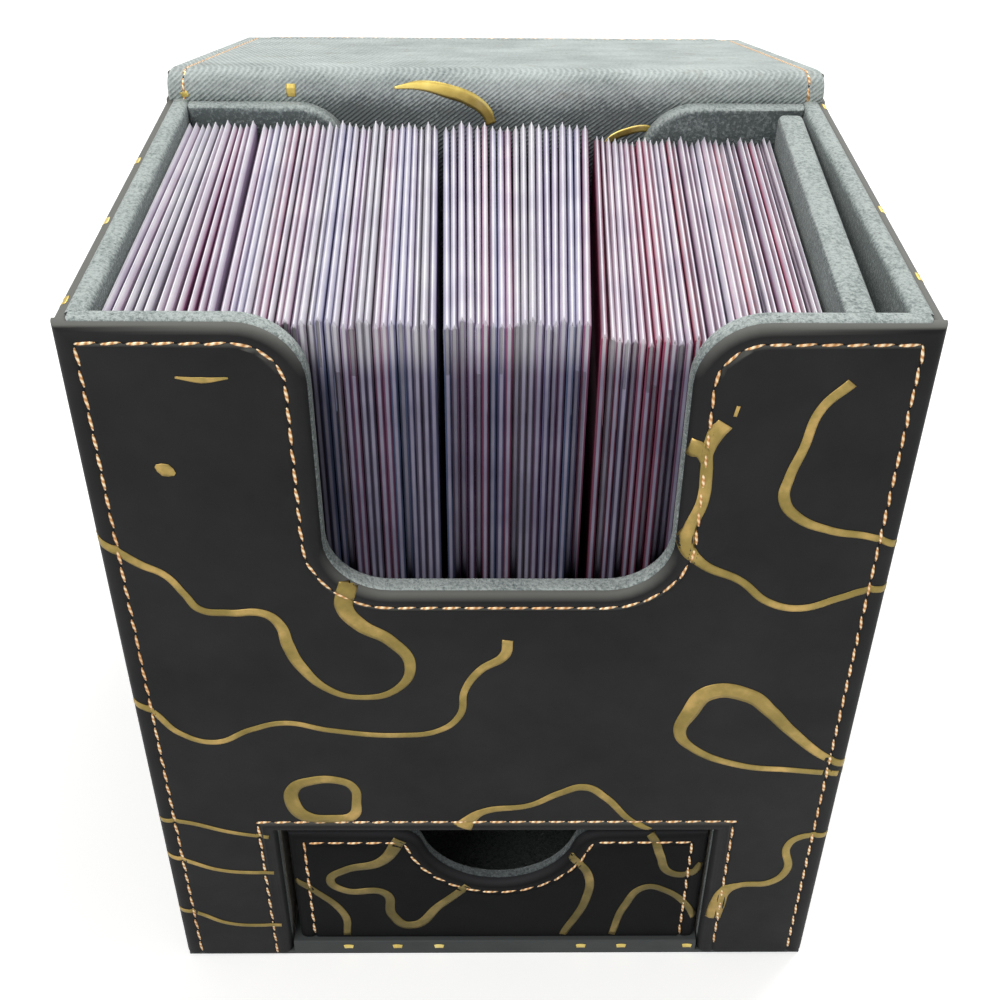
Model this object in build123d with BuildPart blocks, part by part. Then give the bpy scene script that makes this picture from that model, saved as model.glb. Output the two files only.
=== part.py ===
import os
from math import atan2, cos, degrees, radians, sin

from build123d import *

# A drawer box for trading cards: greyboard walls wrapped in soft black leather
# outside and grey-green microfibre inside, a U-shaped dip in the front and back
# walls, a lid folded back on its leather hinge with a magnetic front flap, a small
# drawer under the card shelf, a loose divider and four runs of sleeved cards.
# Millimetres. The origin is the middle of the base, -Y is the front, +Z is up.

# Cards, which set the size of the room they stand in
sleeve_width = 66.0
sleeve_height = 91.0
short_card_height = 88.5
sleeve_thickness = 0.62
cards_front_gap = 1.2
cards_back_gap = 1.0
cards_head_gap = 1.7

# Case
case_width = 110.0
corner_radius = 1.5

# Sheet goods
board_thickness = 2.0
leather_thickness = 0.8
lining_thickness = 1.2
skin_thickness = 0.8
edge_wrap = 0.8
leather_turn = 1.8

# U-shaped dip in the front and back walls
dip_width = 48.6
dip_depth = 43.2
dip_radius = 9.0

# Base
base_leather_thickness = 0.8
base_board_thickness = 1.8
base_inset = 0.4
lip_return = 12.0

# Drawer and the bay it runs in
drawer_width = 70.1
drawer_height = 28.1
drawer_offset = 0.4
drawer_setback = 1.3
drawer_side_gap = 1.15
drawer_floor_gap = 0.3
drawer_shelf_gap = 0.8
drawer_back_gap = 1.5
mouth_head_gap = 1.6
mouth_radius = 1.0
drawer_board_thickness = 1.5
drawer_wrap_thickness = 0.5
drawer_lining_thickness = 1.0
drawer_leather_turn = 1.3
drawer_side_drop = 1.6
notch_radius = 13.2
notch_flare = 5.0

# Lid, flap and their leather hinges
cover_gap = 0.5
lid_tilt = 14.4
flap_side_inset = 5.0
flap_board_thickness = 1.6
flap_length = 56.0
flap_corner_radius = 12.0
flap_gap = 0.4
flap_fold_strip = 2.3
hinge_crest_rise = 2.3
hinge_crest_lean = 0.9
magnet_radius = 5.0
magnet_thickness = 1.4
magnet_clearance = 0.1
magnet_spread = 60.0
magnet_rise = 9.0

# Divider
divider_head = 1.0
divider_end_gap = 0.8
divider_wall_gap = 4.1
divider_turn = 2.8

# Places that follow from the sizes above
wall_thickness = leather_thickness + board_thickness + lining_thickness
cover_thickness = leather_thickness + board_thickness + skin_thickness
back_wall_thickness = board_thickness + lining_thickness
room_depth = cards_front_gap + sleeve_width + cards_back_gap
case_depth = wall_thickness + room_depth + back_wall_thickness + cover_thickness
front_face = -case_depth / 2
back_face = case_depth / 2
cover_front = back_face - cover_thickness
room_front = front_face + wall_thickness
room_back = room_front + room_depth
room_middle = (room_front + room_back) / 2
room_half_width = case_width / 2 - wall_thickness
side_board_inside = case_width / 2 - leather_thickness - board_thickness
lining_ring_half_width = case_width / 2 - leather_turn

wall_bottom = base_leather_thickness
base_top = base_leather_thickness + base_board_thickness
bay_floor = base_top + base_leather_thickness
bay_width = drawer_width + 2 * drawer_side_gap
drawer_bottom = bay_floor + drawer_floor_gap
drawer_top = drawer_bottom + drawer_height
bay_mouth_top = drawer_top + mouth_head_gap
shelf_underside = drawer_top + drawer_shelf_gap
shelf_height = shelf_underside + board_thickness + lining_thickness
case_height = shelf_height + sleeve_height + cards_head_gap
wall_height = case_height - wall_bottom
board_bottom = wall_bottom + edge_wrap
board_top = case_height - edge_wrap

lid_length = case_depth
lid_hinge_height = case_height + cover_gap + cover_thickness / 2
flap_tip_height = lid_hinge_height - flap_fold_strip - flap_length
magnet_height = flap_tip_height + magnet_rise


def front_plane(depth):
    """Upright plane parallel to the front face, this far behind it, facing the front."""
    return Plane.XZ.offset(-front_face - depth)


def side_plane(side, depth):
    """Upright plane parallel to a side wall, this far inside it, facing outwards.

    Its local X runs to the back on the right wall and to the front on the left one.
    """
    wall_x = side * (case_width / 2 - depth)
    return Plane(origin=(wall_x, 0, 0), x_dir=(0, side, 0), z_dir=(side, 0, 0))


def dipped_wall(width, height, has_mouth):
    """Outline of a wall with the U-shaped dip in its top and, in front, the drawer mouth."""
    with BuildSketch() as outline:
        with Locations((0, wall_bottom + height / 2)):
            Rectangle(width, height)
        with Locations((0, wall_bottom + height)):
            Rectangle(dip_width, 2 * dip_depth, mode=Mode.SUBTRACT)
        dip_corners = outline.vertices().filter_by(lambda v: abs(v.X) < width / 2 - 0.01)
        fillet(dip_corners, dip_radius)
        if has_mouth:
            with Locations((0, wall_bottom)):
                Rectangle(bay_width, 2 * (bay_mouth_top - wall_bottom), mode=Mode.SUBTRACT)
            mouth_corners = outline.vertices().filter_by(
                lambda v: abs(abs(v.X) - bay_width / 2) < 0.01 and v.Y > wall_bottom + 1
            )
            fillet(mouth_corners, mouth_radius)
    return outline.sketch


def band(half_width):
    """Upright strip of this half width, tall enough to trim any wall outline."""
    with BuildSketch() as strip:
        with Locations((0, case_height / 2)):
            Rectangle(2 * half_width, 2 * case_height)
    return strip.sketch


def side_rectangle(side, front, back, bottom, top):
    """Rectangle of a side wall between two depths and two heights, drawn for side_plane."""
    with BuildSketch() as panel:
        with Locations((side * (front + back) / 2, (bottom + top) / 2)):
            Rectangle(back - front, top - bottom)
    return panel.sketch


def save(piece, name):
    """Labels a finished piece and writes it as its own file."""
    piece.part.label = name
    export_step(piece.part, "parts/" + name + ".step")


os.makedirs("parts", exist_ok=True)

# ---------------------------------------------------------------- front wall
front_outline = dipped_wall(case_width, wall_height, True)
front_board_outline = offset(front_outline, amount=-edge_wrap, kind=Kind.INTERSECTION)

with BuildPart() as front_board:
    with BuildSketch(front_plane(leather_thickness + board_thickness)):
        add(front_board_outline)
        with Locations((-magnet_spread / 2, magnet_height), (magnet_spread / 2, magnet_height)):
            Circle(magnet_radius + magnet_clearance, mode=Mode.SUBTRACT)
    extrude(amount=board_thickness)
save(front_board, "front_board")

with BuildPart() as case_magnets:
    with BuildSketch(front_plane(leather_thickness + (board_thickness + magnet_thickness) / 2)):
        with Locations((-magnet_spread / 2, magnet_height), (magnet_spread / 2, magnet_height)):
            Circle(magnet_radius)
    extrude(amount=magnet_thickness)
save(case_magnets, "case_magnets")

# The front leather is a shallow tray: a face with its edges turned back all round.
with BuildPart() as front_leather:
    with BuildSketch(front_plane(leather_turn)):
        add(front_outline)
    extrude(amount=leather_turn)
    with BuildSketch(front_plane(leather_turn)):
        add(front_board_outline)
    extrude(amount=leather_turn - leather_thickness, mode=Mode.SUBTRACT)
    upright_corners = front_leather.edges().filter_by(Axis.Z).filter_by(
        lambda e: abs(abs(e.center().X) - case_width / 2) < 0.01 and e.center().Y < front_face + 0.01
    )
    fillet(upright_corners, corner_radius)
save(front_leather, "front_leather")

with BuildPart() as front_lining:
    with BuildSketch(front_plane(wall_thickness)):
        add(front_outline)
        add(band(side_board_inside), mode=Mode.INTERSECT)
    extrude(amount=lining_thickness)
    with BuildSketch(front_plane(leather_thickness + board_thickness)):
        add(front_outline)
        add(front_board_outline, mode=Mode.SUBTRACT)
        add(band(lining_ring_half_width), mode=Mode.INTERSECT)
    extrude(amount=leather_thickness + board_thickness - leather_turn)
save(front_lining, "front_lining")

# ---------------------------------------------------------------- side walls
side_board_front = front_face + leather_thickness + board_thickness
side_rim_front = front_face + leather_turn
for side, side_name in ((-1, "left"), (1, "right")):
    board_rectangle = side_rectangle(side, side_board_front, cover_front, board_bottom, board_top)
    leather_rectangle = side_rectangle(side, side_rim_front, cover_front, wall_bottom, case_height)
    pocket_rectangle = side_rectangle(side, side_rim_front, cover_front, board_bottom, board_top)
    lining_rectangle = side_rectangle(side, room_front, room_back, shelf_height, case_height)
    top_strip = side_rectangle(side, side_board_front, cover_front, board_top, case_height)

    with BuildPart() as side_board:
        with BuildSketch(side_plane(side, leather_thickness + board_thickness)):
            add(board_rectangle)
        extrude(amount=board_thickness)
    save(side_board, side_name + "_board")

    with BuildPart() as side_leather:
        with BuildSketch(side_plane(side, leather_turn)):
            add(leather_rectangle)
        extrude(amount=leather_turn)
        with BuildSketch(side_plane(side, leather_turn)):
            add(pocket_rectangle)
        extrude(amount=leather_turn - leather_thickness, mode=Mode.SUBTRACT)
    save(side_leather, side_name + "_leather")

    with BuildPart() as side_lining:
        with BuildSketch(side_plane(side, wall_thickness)):
            add(lining_rectangle)
        extrude(amount=lining_thickness)
        with BuildSketch(side_plane(side, leather_thickness + board_thickness)):
            add(top_strip)
        extrude(amount=leather_thickness + board_thickness - leather_turn)
    save(side_lining, side_name + "_lining")

# ---------------------------------------------------------------- back wall of the card room
back_wall_width = 2 * side_board_inside
back_outline = dipped_wall(back_wall_width, wall_height, False)
back_board_outline = offset(back_outline, amount=-edge_wrap, kind=Kind.INTERSECTION)

with BuildPart() as back_wall_board:
    with BuildSketch(front_plane(case_depth - cover_thickness)):
        add(back_board_outline)
    extrude(amount=board_thickness)
save(back_wall_board, "back_wall_board")

with BuildPart() as back_wall_lining:
    with BuildSketch(front_plane(case_depth - cover_thickness)):
        add(back_outline)
    extrude(amount=back_wall_thickness)
    with BuildSketch(front_plane(case_depth - cover_thickness)):
        add(back_board_outline)
    extrude(amount=board_thickness, mode=Mode.SUBTRACT)
save(back_wall_lining, "back_wall_lining")

# ---------------------------------------------------------------- base and drawer bay
with BuildPart() as base_leather:
    with BuildSketch(Plane.XY):
        Rectangle(case_width - 2 * base_inset, case_depth - 2 * base_inset)
    extrude(amount=base_leather_thickness)
    lip_width = bay_width - 2 * base_inset
    with BuildSketch(Plane.XY):
        with Locations((0, front_face + base_inset + lip_return / 2)):
            Rectangle(lip_width, lip_return)
    extrude(amount=bay_floor)
    with BuildSketch(Plane.XY.offset(base_leather_thickness)):
        with Locations((0, front_face + base_inset + base_leather_thickness + lip_return / 2)):
            Rectangle(lip_width, lip_return)
    extrude(amount=base_board_thickness, mode=Mode.SUBTRACT)
    lip_edges = base_leather.edges().filter_by(Axis.X).filter_by(
        lambda e: e.center().Y < front_face + base_inset + 0.01 and e.center().Z > bay_floor - 0.01
    )
    fillet(lip_edges, base_leather_thickness / 2)
save(base_leather, "base_leather")

with BuildPart() as base_board:
    with BuildSketch(Plane.XY.offset(base_leather_thickness)):
        with Locations((0, room_middle)):
            Rectangle(2 * side_board_inside, room_depth)
        tongue_front = front_face + base_inset + base_leather_thickness
        with Locations((0, (tongue_front + room_middle) / 2)):
            Rectangle(lip_width, room_middle - tongue_front)
    extrude(amount=base_board_thickness)
save(base_board, "base_board")

with BuildPart() as bay_floor_lining:
    lining_front = front_face + base_inset + lip_return
    with BuildSketch(Plane.XY.offset(base_top)):
        with Locations((0, (lining_front + room_back) / 2)):
            Rectangle(lip_width, room_back - lining_front)
    extrude(amount=base_leather_thickness)
save(bay_floor_lining, "bay_floor_lining")

for side, side_name in ((-1, "left"), (1, "right")):
    with BuildPart() as drawer_guide:
        with BuildSketch(Plane.XY.offset(base_top)):
            with Locations((side * (bay_width + board_thickness) / 2, room_middle)):
                Rectangle(board_thickness, room_depth)
        extrude(amount=shelf_underside - base_top)
    save(drawer_guide, side_name + "_drawer_guide")

with BuildPart() as shelf_board:
    with BuildSketch(Plane.XY.offset(shelf_underside)):
        with Locations((0, room_middle)):
            Rectangle(2 * side_board_inside, room_depth)
    extrude(amount=board_thickness)
save(shelf_board, "shelf_board")

with BuildPart() as shelf_lining:
    with BuildSketch(Plane.XY.offset(shelf_height - lining_thickness)):
        with Locations((0, room_middle)):
            Rectangle(2 * side_board_inside, room_depth)
    extrude(amount=lining_thickness)
save(shelf_lining, "shelf_lining")

# ---------------------------------------------------------------- back of the cover
with BuildPart() as back_cover_board:
    with BuildSketch(front_plane(case_depth - leather_thickness)):
        with Locations((0, wall_bottom + wall_height / 2)):
            Rectangle(case_width - 2 * edge_wrap, wall_height - 2 * edge_wrap)
    extrude(amount=board_thickness)
save(back_cover_board, "back_cover_board")

with BuildPart() as back_cover_skin:
    with BuildSketch(front_plane(case_depth - leather_thickness - board_thickness)):
        with Locations((0, wall_bottom + wall_height / 2)):
            Rectangle(case_width - 2 * edge_wrap, wall_height - 2 * edge_wrap)
    extrude(amount=skin_thickness)
save(back_cover_skin, "back_cover_skin")

with BuildPart() as back_cover_leather:
    with BuildSketch(front_plane(case_depth)):
        with Locations((0, wall_bottom + wall_height / 2)):
            Rectangle(case_width, wall_height)
    extrude(amount=cover_thickness)
    with BuildSketch(front_plane(case_depth - leather_thickness)):
        with Locations((0, wall_bottom + wall_height / 2)):
            Rectangle(case_width - 2 * edge_wrap, wall_height - 2 * edge_wrap)
    extrude(amount=board_thickness + skin_thickness, mode=Mode.SUBTRACT)
    rear_corners = back_cover_leather.edges().filter_by(Axis.Z).filter_by(
        lambda e: abs(abs(e.center().X) - case_width / 2) < 0.01 and e.center().Y > back_face - 0.01
    )
    fillet(rear_corners, corner_radius)
save(back_cover_leather, "back_cover_leather")

# ---------------------------------------------------------------- lid
# The lid lies back on its hinge, lining side up. Its pieces are drawn in a plane through
# the hinge line: local X is across the box, local Y runs from the hinge to the far edge,
# and the normal is the side that faces the cards when the lid is shut.
lid_normal = (0, sin(radians(lid_tilt)), cos(radians(lid_tilt)))
lid_plane = Plane(origin=(0, back_face, lid_hinge_height), x_dir=(1, 0, 0), z_dir=lid_normal)


def lid_level(height):
    """Plane of the lid this far above the lid's mid-thickness."""
    return lid_plane.offset(height)


def lid_panel(inset, near, far):
    """Lid outline inset from the sides, between two distances from the hinge line."""
    with BuildSketch() as panel:
        with Locations((0, (near + far) / 2)):
            Rectangle(case_width - 2 * inset, far - near)
    return panel.sketch


lid_underside = -cover_thickness / 2
lid_board_bottom = lid_underside + leather_thickness

with BuildPart() as lid_board:
    with BuildSketch(lid_level(lid_board_bottom)):
        add(lid_panel(edge_wrap, skin_thickness, lid_length - edge_wrap))
    extrude(amount=board_thickness)
save(lid_board, "lid_board")

with BuildPart() as lid_leather:
    with BuildSketch(lid_level(lid_underside)):
        add(lid_panel(0, 0, lid_length))
    extrude(amount=cover_thickness)
    with BuildSketch(lid_level(lid_board_bottom)):
        add(lid_panel(edge_wrap, 0, lid_length - edge_wrap))
    extrude(amount=board_thickness + skin_thickness, mode=Mode.SUBTRACT)
save(lid_leather, "lid_leather")

with BuildPart() as lid_skin:
    with BuildSketch(lid_level(lid_board_bottom)):
        add(lid_panel(edge_wrap, 0, lid_length - edge_wrap))
    extrude(amount=board_thickness + skin_thickness)
    with BuildSketch(lid_level(lid_board_bottom)):
        add(lid_panel(edge_wrap, skin_thickness, lid_length - edge_wrap))
    extrude(amount=board_thickness, mode=Mode.SUBTRACT)
    near_edge = lid_skin.edges().filter_by(Axis.X).sort_by(Axis.Z)[-1]
    fillet(near_edge, skin_thickness)
save(lid_skin, "lid_skin")

# ---------------------------------------------------------------- front flap
# The flap hangs from the lid's far edge. Local X is across the box, local Y runs down to
# the tip, and the normal is the side that meets the front wall when the box is shut.
flap_thickness = leather_thickness + flap_board_thickness + skin_thickness
flap_width = case_width - 2 * flap_side_inset
fold_reach = flap_gap + flap_thickness / 2
flap_hinge = lid_plane.from_local_coords(Vector(0, lid_length + fold_reach, 0))
flap_plane = Plane(origin=flap_hinge, x_dir=(1, 0, 0), z_dir=(0, 1, 0))


def flap_panel(inset, near_inset):
    """Flap outline with its two lower corners rounded, inset from its edges."""
    near = flap_fold_strip + near_inset
    far = flap_fold_strip + flap_length - inset
    with BuildSketch() as panel:
        with Locations((0, (near + far) / 2)):
            Rectangle(flap_width - 2 * inset, far - near)
        fillet(panel.vertices().group_by(Axis.Y)[-1], flap_corner_radius - inset)
    return panel.sketch


flap_outside = -flap_thickness / 2
flap_board_bottom = flap_outside + leather_thickness
flap_board_top = flap_board_bottom + flap_board_thickness
magnet_from_hinge = flap_fold_strip + flap_length - magnet_rise

with BuildPart() as flap_board:
    with BuildSketch(flap_plane.offset(flap_board_bottom)):
        add(flap_panel(edge_wrap, 0))
        with Locations((-magnet_spread / 2, magnet_from_hinge), (magnet_spread / 2, magnet_from_hinge)):
            Circle(magnet_radius + magnet_clearance, mode=Mode.SUBTRACT)
    extrude(amount=flap_board_thickness)
save(flap_board, "flap_board")

with BuildPart() as flap_magnets:
    with BuildSketch(flap_plane.offset(flap_board_bottom + (flap_board_thickness - magnet_thickness) / 2)):
        with Locations((-magnet_spread / 2, magnet_from_hinge), (magnet_spread / 2, magnet_from_hinge)):
            Circle(magnet_radius)
    extrude(amount=magnet_thickness)
save(flap_magnets, "flap_magnets")

with BuildPart() as flap_leather:
    with BuildSketch(flap_plane.offset(flap_outside)):
        add(flap_panel(0, 0))
    extrude(amount=flap_thickness)
    with BuildSketch(flap_plane.offset(flap_board_bottom)):
        add(flap_panel(edge_wrap, 0))
    extrude(amount=flap_board_thickness + skin_thickness, mode=Mode.SUBTRACT)
save(flap_leather, "flap_leather")

with BuildPart() as flap_skin:
    with BuildSketch(flap_plane.offset(flap_board_top)):
        add(flap_panel(edge_wrap, 0))
    extrude(amount=skin_thickness)
save(flap_skin, "flap_skin")

# ---------------------------------------------------------------- leather hinges
# Each hinge is the unboarded stretch of the cover: black leather outside and the printed
# skin inside. They are drawn in profile, looking along the box, and run across its width.
profile_plane = Plane(origin=(0, 0, 0), x_dir=(0, 1, 0), z_dir=(1, 0, 0))


def lid_point(along, height):
    """A point of the lid's profile as (y, z)."""
    corner = lid_plane.from_local_coords(Vector(0, along, height))
    return (corner.Y, corner.Z)


def flap_point(along, height):
    """A point of the flap's profile as (y, z)."""
    corner = flap_plane.from_local_coords(Vector(0, along, height))
    return (corner.Y, corner.Z)


hinge_width = case_width - 2 * edge_wrap
flap_hinge_width = flap_width - 2 * edge_wrap

with BuildPart() as lid_hinge_skin:
    with BuildSketch(profile_plane):
        with BuildLine():
            outer_foot = (cover_front, case_height)
            inner_foot = (cover_front + skin_thickness, case_height)
            outer_head = lid_point(0, cover_thickness / 2 - skin_thickness)
            inner_head = lid_point(0, cover_thickness / 2 - 2 * skin_thickness)
            crest = (cover_front + hinge_crest_lean, case_height + hinge_crest_rise)
            Polyline(inner_head, inner_foot, outer_foot)
            ThreePointArc(outer_foot, crest, outer_head)
            Line(outer_head, inner_head)
        make_face()
    extrude(amount=hinge_width / 2, both=True)
save(lid_hinge_skin, "lid_hinge_skin")

with BuildPart() as lid_hinge_leather:
    with BuildSketch(profile_plane):
        with BuildLine():
            Polyline(
                (back_face - leather_thickness, case_height),
                (back_face, case_height),
                (back_face, case_height + cover_gap / 2),
                lid_point(0, lid_underside),
                lid_point(0, lid_board_bottom),
                (back_face - leather_thickness, case_height + leather_thickness),
                close=True,
            )
        make_face()
    extrude(amount=hinge_width / 2, both=True)
save(lid_hinge_leather, "lid_hinge_leather")

with BuildPart() as flap_hinge_skin:
    with BuildSketch(profile_plane):
        with BuildLine():
            upper_start = lid_point(lid_length, cover_thickness / 2)
            lower_start = lid_point(lid_length, cover_thickness / 2 - skin_thickness)
            outer_end = flap_point(flap_fold_strip, flap_thickness / 2)
            inner_end = flap_point(flap_fold_strip, flap_thickness / 2 - skin_thickness)
            RadiusArc(upper_start, outer_end, flap_fold_strip + skin_thickness)
            Line(outer_end, inner_end)
            RadiusArc(inner_end, lower_start, -flap_fold_strip)
            Line(lower_start, upper_start)
        make_face()
    extrude(amount=flap_hinge_width / 2, both=True)
save(flap_hinge_skin, "flap_hinge_skin")

with BuildPart() as flap_hinge_leather:
    with BuildSketch(profile_plane):
        with BuildLine():
            Polyline(
                lid_point(lid_length, lid_underside),
                flap_point(flap_fold_strip, flap_outside),
                flap_point(flap_fold_strip, flap_board_bottom),
                lid_point(lid_length, lid_board_bottom),
                close=True,
            )
        make_face()
    extrude(amount=flap_hinge_width / 2, both=True)
save(flap_hinge_leather, "flap_hinge_leather")

# ---------------------------------------------------------------- drawer
drawer_front = front_face + drawer_setback
drawer_panel_thickness = leather_thickness + drawer_board_thickness + drawer_lining_thickness
tray_front = drawer_front + drawer_panel_thickness
tray_back = room_back - drawer_back_gap
tray_top = drawer_top - drawer_side_drop
tray_half_width = drawer_width / 2
board_floor = drawer_bottom + drawer_wrap_thickness
lining_floor = board_floor + drawer_board_thickness
tray_wall = drawer_wrap_thickness + drawer_board_thickness


def drawer_outline():
    """Drawer front with its finger notch, whose shoulders flare into the top edge."""
    with BuildSketch() as outline:
        with Locations((drawer_offset, (drawer_bottom + drawer_top) / 2)):
            Rectangle(drawer_width, drawer_top - drawer_bottom)
        with Locations((drawer_offset, drawer_top)):
            Circle(notch_radius, mode=Mode.SUBTRACT)
        shoulders = outline.vertices().filter_by(
            lambda v: v.Y > drawer_top - 0.01 and abs(v.X - drawer_offset) < notch_radius + 0.01
        )
        fillet(shoulders, notch_flare)
    return outline.sketch


def tray_block(inset, back_inset, bottom):
    """Plan of the tray inset from its outer faces, placed at a height above the base."""
    with BuildSketch(Plane.XY.offset(bottom)) as plan:
        with Locations((drawer_offset, (tray_front + tray_back - back_inset) / 2)):
            Rectangle(2 * (tray_half_width - inset), tray_back - back_inset - tray_front)
    return plan.sketch


drawer_front_outline = drawer_outline()
drawer_board_outline = offset(drawer_front_outline, amount=-edge_wrap, kind=Kind.INTERSECTION)

with BuildPart() as drawer_front_board:
    with BuildSketch(front_plane(drawer_setback + leather_thickness + drawer_board_thickness)):
        add(drawer_board_outline)
    extrude(amount=drawer_board_thickness)
save(drawer_front_board, "drawer_front_board")

with BuildPart() as drawer_front_leather:
    with BuildSketch(front_plane(drawer_setback + drawer_leather_turn)):
        add(drawer_front_outline)
    extrude(amount=drawer_leather_turn)
    with BuildSketch(front_plane(drawer_setback + drawer_leather_turn)):
        add(drawer_board_outline)
    extrude(amount=drawer_leather_turn - leather_thickness, mode=Mode.SUBTRACT)
save(drawer_front_leather, "drawer_front_leather")

with BuildPart() as drawer_front_lining:
    with BuildSketch(front_plane(drawer_setback + drawer_panel_thickness)):
        add(drawer_front_outline)
    extrude(amount=drawer_panel_thickness - drawer_leather_turn)
    with BuildSketch(front_plane(drawer_setback + leather_thickness + drawer_board_thickness)):
        add(drawer_board_outline)
    extrude(amount=drawer_board_thickness, mode=Mode.SUBTRACT)
save(drawer_front_lining, "drawer_front_lining")

with BuildPart() as drawer_wrap:
    add(tray_block(0, 0, drawer_bottom))
    extrude(amount=tray_top - drawer_bottom)
    add(tray_block(drawer_wrap_thickness, drawer_wrap_thickness, board_floor))
    extrude(amount=tray_top - board_floor, mode=Mode.SUBTRACT)
save(drawer_wrap, "drawer_wrap")

with BuildPart() as drawer_floor_board:
    add(tray_block(drawer_wrap_thickness, drawer_wrap_thickness, board_floor))
    extrude(amount=drawer_board_thickness)
save(drawer_floor_board, "drawer_floor_board")

for side, side_name in ((-1, "left"), (1, "right")):
    with BuildPart() as drawer_side_board:
        board_x = side * (tray_half_width - drawer_wrap_thickness - drawer_board_thickness / 2)
        with BuildSketch(Plane.XY.offset(lining_floor)):
            with Locations((drawer_offset + board_x, (tray_front + tray_back - drawer_wrap_thickness) / 2)):
                Rectangle(drawer_board_thickness, tray_back - drawer_wrap_thickness - tray_front)
        extrude(amount=tray_top - lining_floor)
    save(drawer_side_board, "drawer_" + side_name + "_board")

with BuildPart() as drawer_back_board:
    with BuildSketch(Plane.XY.offset(lining_floor)):
        with Locations((drawer_offset, tray_back - drawer_wrap_thickness - drawer_board_thickness / 2)):
            Rectangle(2 * (tray_half_width - tray_wall), drawer_board_thickness)
    extrude(amount=tray_top - lining_floor)
save(drawer_back_board, "drawer_back_board")

with BuildPart() as drawer_lining:
    add(tray_block(tray_wall, tray_wall, lining_floor))
    extrude(amount=tray_top - lining_floor)
    lined_wall = tray_wall + drawer_lining_thickness
    add(tray_block(lined_wall, lined_wall, lining_floor + drawer_lining_thickness))
    extrude(amount=tray_top - lining_floor - drawer_lining_thickness, mode=Mode.SUBTRACT)
save(drawer_lining, "drawer_lining")

# ---------------------------------------------------------------- divider
# A lined board that stands loose at the right of the cards, its front end off the wall.
divider_height = sleeve_height + divider_head
divider_length = room_depth - 2 * divider_end_gap
divider_thickness = board_thickness + 2 * lining_thickness
divider_x = room_half_width - divider_wall_gap
divider_plane = Plane(
    origin=(divider_x, room_middle, shelf_height),
    x_dir=(cos(radians(divider_turn)), -sin(radians(divider_turn)), 0),
    z_dir=(0, 0, 1),
)
divider_board_height = divider_height - lining_thickness
divider_core_length = divider_length - 2 * lining_thickness

with BuildPart() as divider_board:
    with BuildSketch(divider_plane):
        Rectangle(board_thickness, divider_core_length)
    extrude(amount=divider_board_height)
save(divider_board, "divider_board")

with BuildPart() as divider_lining:
    with BuildSketch(divider_plane):
        Rectangle(divider_thickness, divider_length)
    extrude(amount=divider_height)
    with BuildSketch(divider_plane):
        Rectangle(board_thickness, divider_core_length)
    extrude(amount=divider_board_height, mode=Mode.SUBTRACT)
save(divider_lining, "divider_lining")

# ---------------------------------------------------------------- sleeved cards
# Four runs stand on the shelf between the left wall and the divider. A run's first and last
# card are placed by the share of that width they stand at, in front and at the back,
# because the cards fan a little.
card_runs = {
    "left_cards": {"front": (0.006, 0.151), "back": (0.005, 0.112), "count": 11},
    "left_middle_cards": {"front": (0.168, 0.451), "back": (0.130, 0.419), "count": 27},
    "right_middle_cards": {"front": (0.470, 0.659), "back": (0.438, 0.674), "count": 19},
    "right_cards": {"front": (0.683, 0.989), "back": (0.695, 0.991), "count": 30},
}
cards_middle = room_front + cards_front_gap + sleeve_width / 2
divider_lean = divider_length / 2 * sin(radians(divider_turn))
divider_reach = divider_x - divider_thickness / 2 / cos(radians(divider_turn))
front_span = room_half_width + divider_reach - divider_lean
back_span = room_half_width + divider_reach + divider_lean


def card_place(run, index):
    """Where one card of a run stands, and how far it turns from straight."""
    along = index / (run["count"] - 1)
    front_share = run["front"][0] + along * (run["front"][1] - run["front"][0])
    back_share = run["back"][0] + along * (run["back"][1] - run["back"][0])
    front_x = front_share * front_span - room_half_width
    back_x = back_share * back_span - room_half_width
    turn = degrees(atan2(front_x - back_x, sleeve_width))
    return Location(((front_x + back_x) / 2, cards_middle, shelf_height), (0, 0, turn))


for run_name, run in card_runs.items():
    card_height = short_card_height if run_name == "right_cards" else sleeve_height
    with BuildPart() as card_run:
        with Locations([card_place(run, index) for index in range(run["count"])]):
            Box(sleeve_thickness, sleeve_width, card_height, align=(Align.CENTER, Align.CENTER, Align.MIN))
    save(card_run, run_name)
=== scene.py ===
import math
import random
from functools import partial

import bmesh
import bpy
from mathutils import Matrix, Vector, geometry
from mathutils.bvhtree import BVHTree


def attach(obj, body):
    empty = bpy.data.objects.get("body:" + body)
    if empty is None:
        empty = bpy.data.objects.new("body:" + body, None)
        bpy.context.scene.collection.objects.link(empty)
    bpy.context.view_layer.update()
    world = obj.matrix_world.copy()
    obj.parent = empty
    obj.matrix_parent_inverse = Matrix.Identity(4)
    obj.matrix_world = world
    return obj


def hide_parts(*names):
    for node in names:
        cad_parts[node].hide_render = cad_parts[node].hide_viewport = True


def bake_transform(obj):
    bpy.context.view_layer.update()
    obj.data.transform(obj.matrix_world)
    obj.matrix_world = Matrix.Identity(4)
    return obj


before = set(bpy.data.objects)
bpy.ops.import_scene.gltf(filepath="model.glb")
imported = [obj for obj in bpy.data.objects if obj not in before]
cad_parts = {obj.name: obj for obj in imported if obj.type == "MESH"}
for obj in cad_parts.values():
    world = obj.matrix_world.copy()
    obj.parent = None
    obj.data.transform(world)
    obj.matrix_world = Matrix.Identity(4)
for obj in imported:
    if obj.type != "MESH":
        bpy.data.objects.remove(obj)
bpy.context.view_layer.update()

# ---------------------------------------------------------------- camera
# The photograph looks down on the box from just left of its middle, with a normal lens. Its
# place and direction were solved from the box's straight edges.
MM = 0.001
FOCAL_MM = 48.13
CAMERA_PLACE = (-2.04, -182.18, 209.27)
camera_data = bpy.data.cameras.new("camera")
camera_data.lens = FOCAL_MM
camera_data.sensor_width = 36.0
camera_data.sensor_fit = "HORIZONTAL"
camera_data.clip_start = 0.01
camera_data.clip_end = 10.0
camera = bpy.data.objects.new("camera", camera_data)
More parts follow.
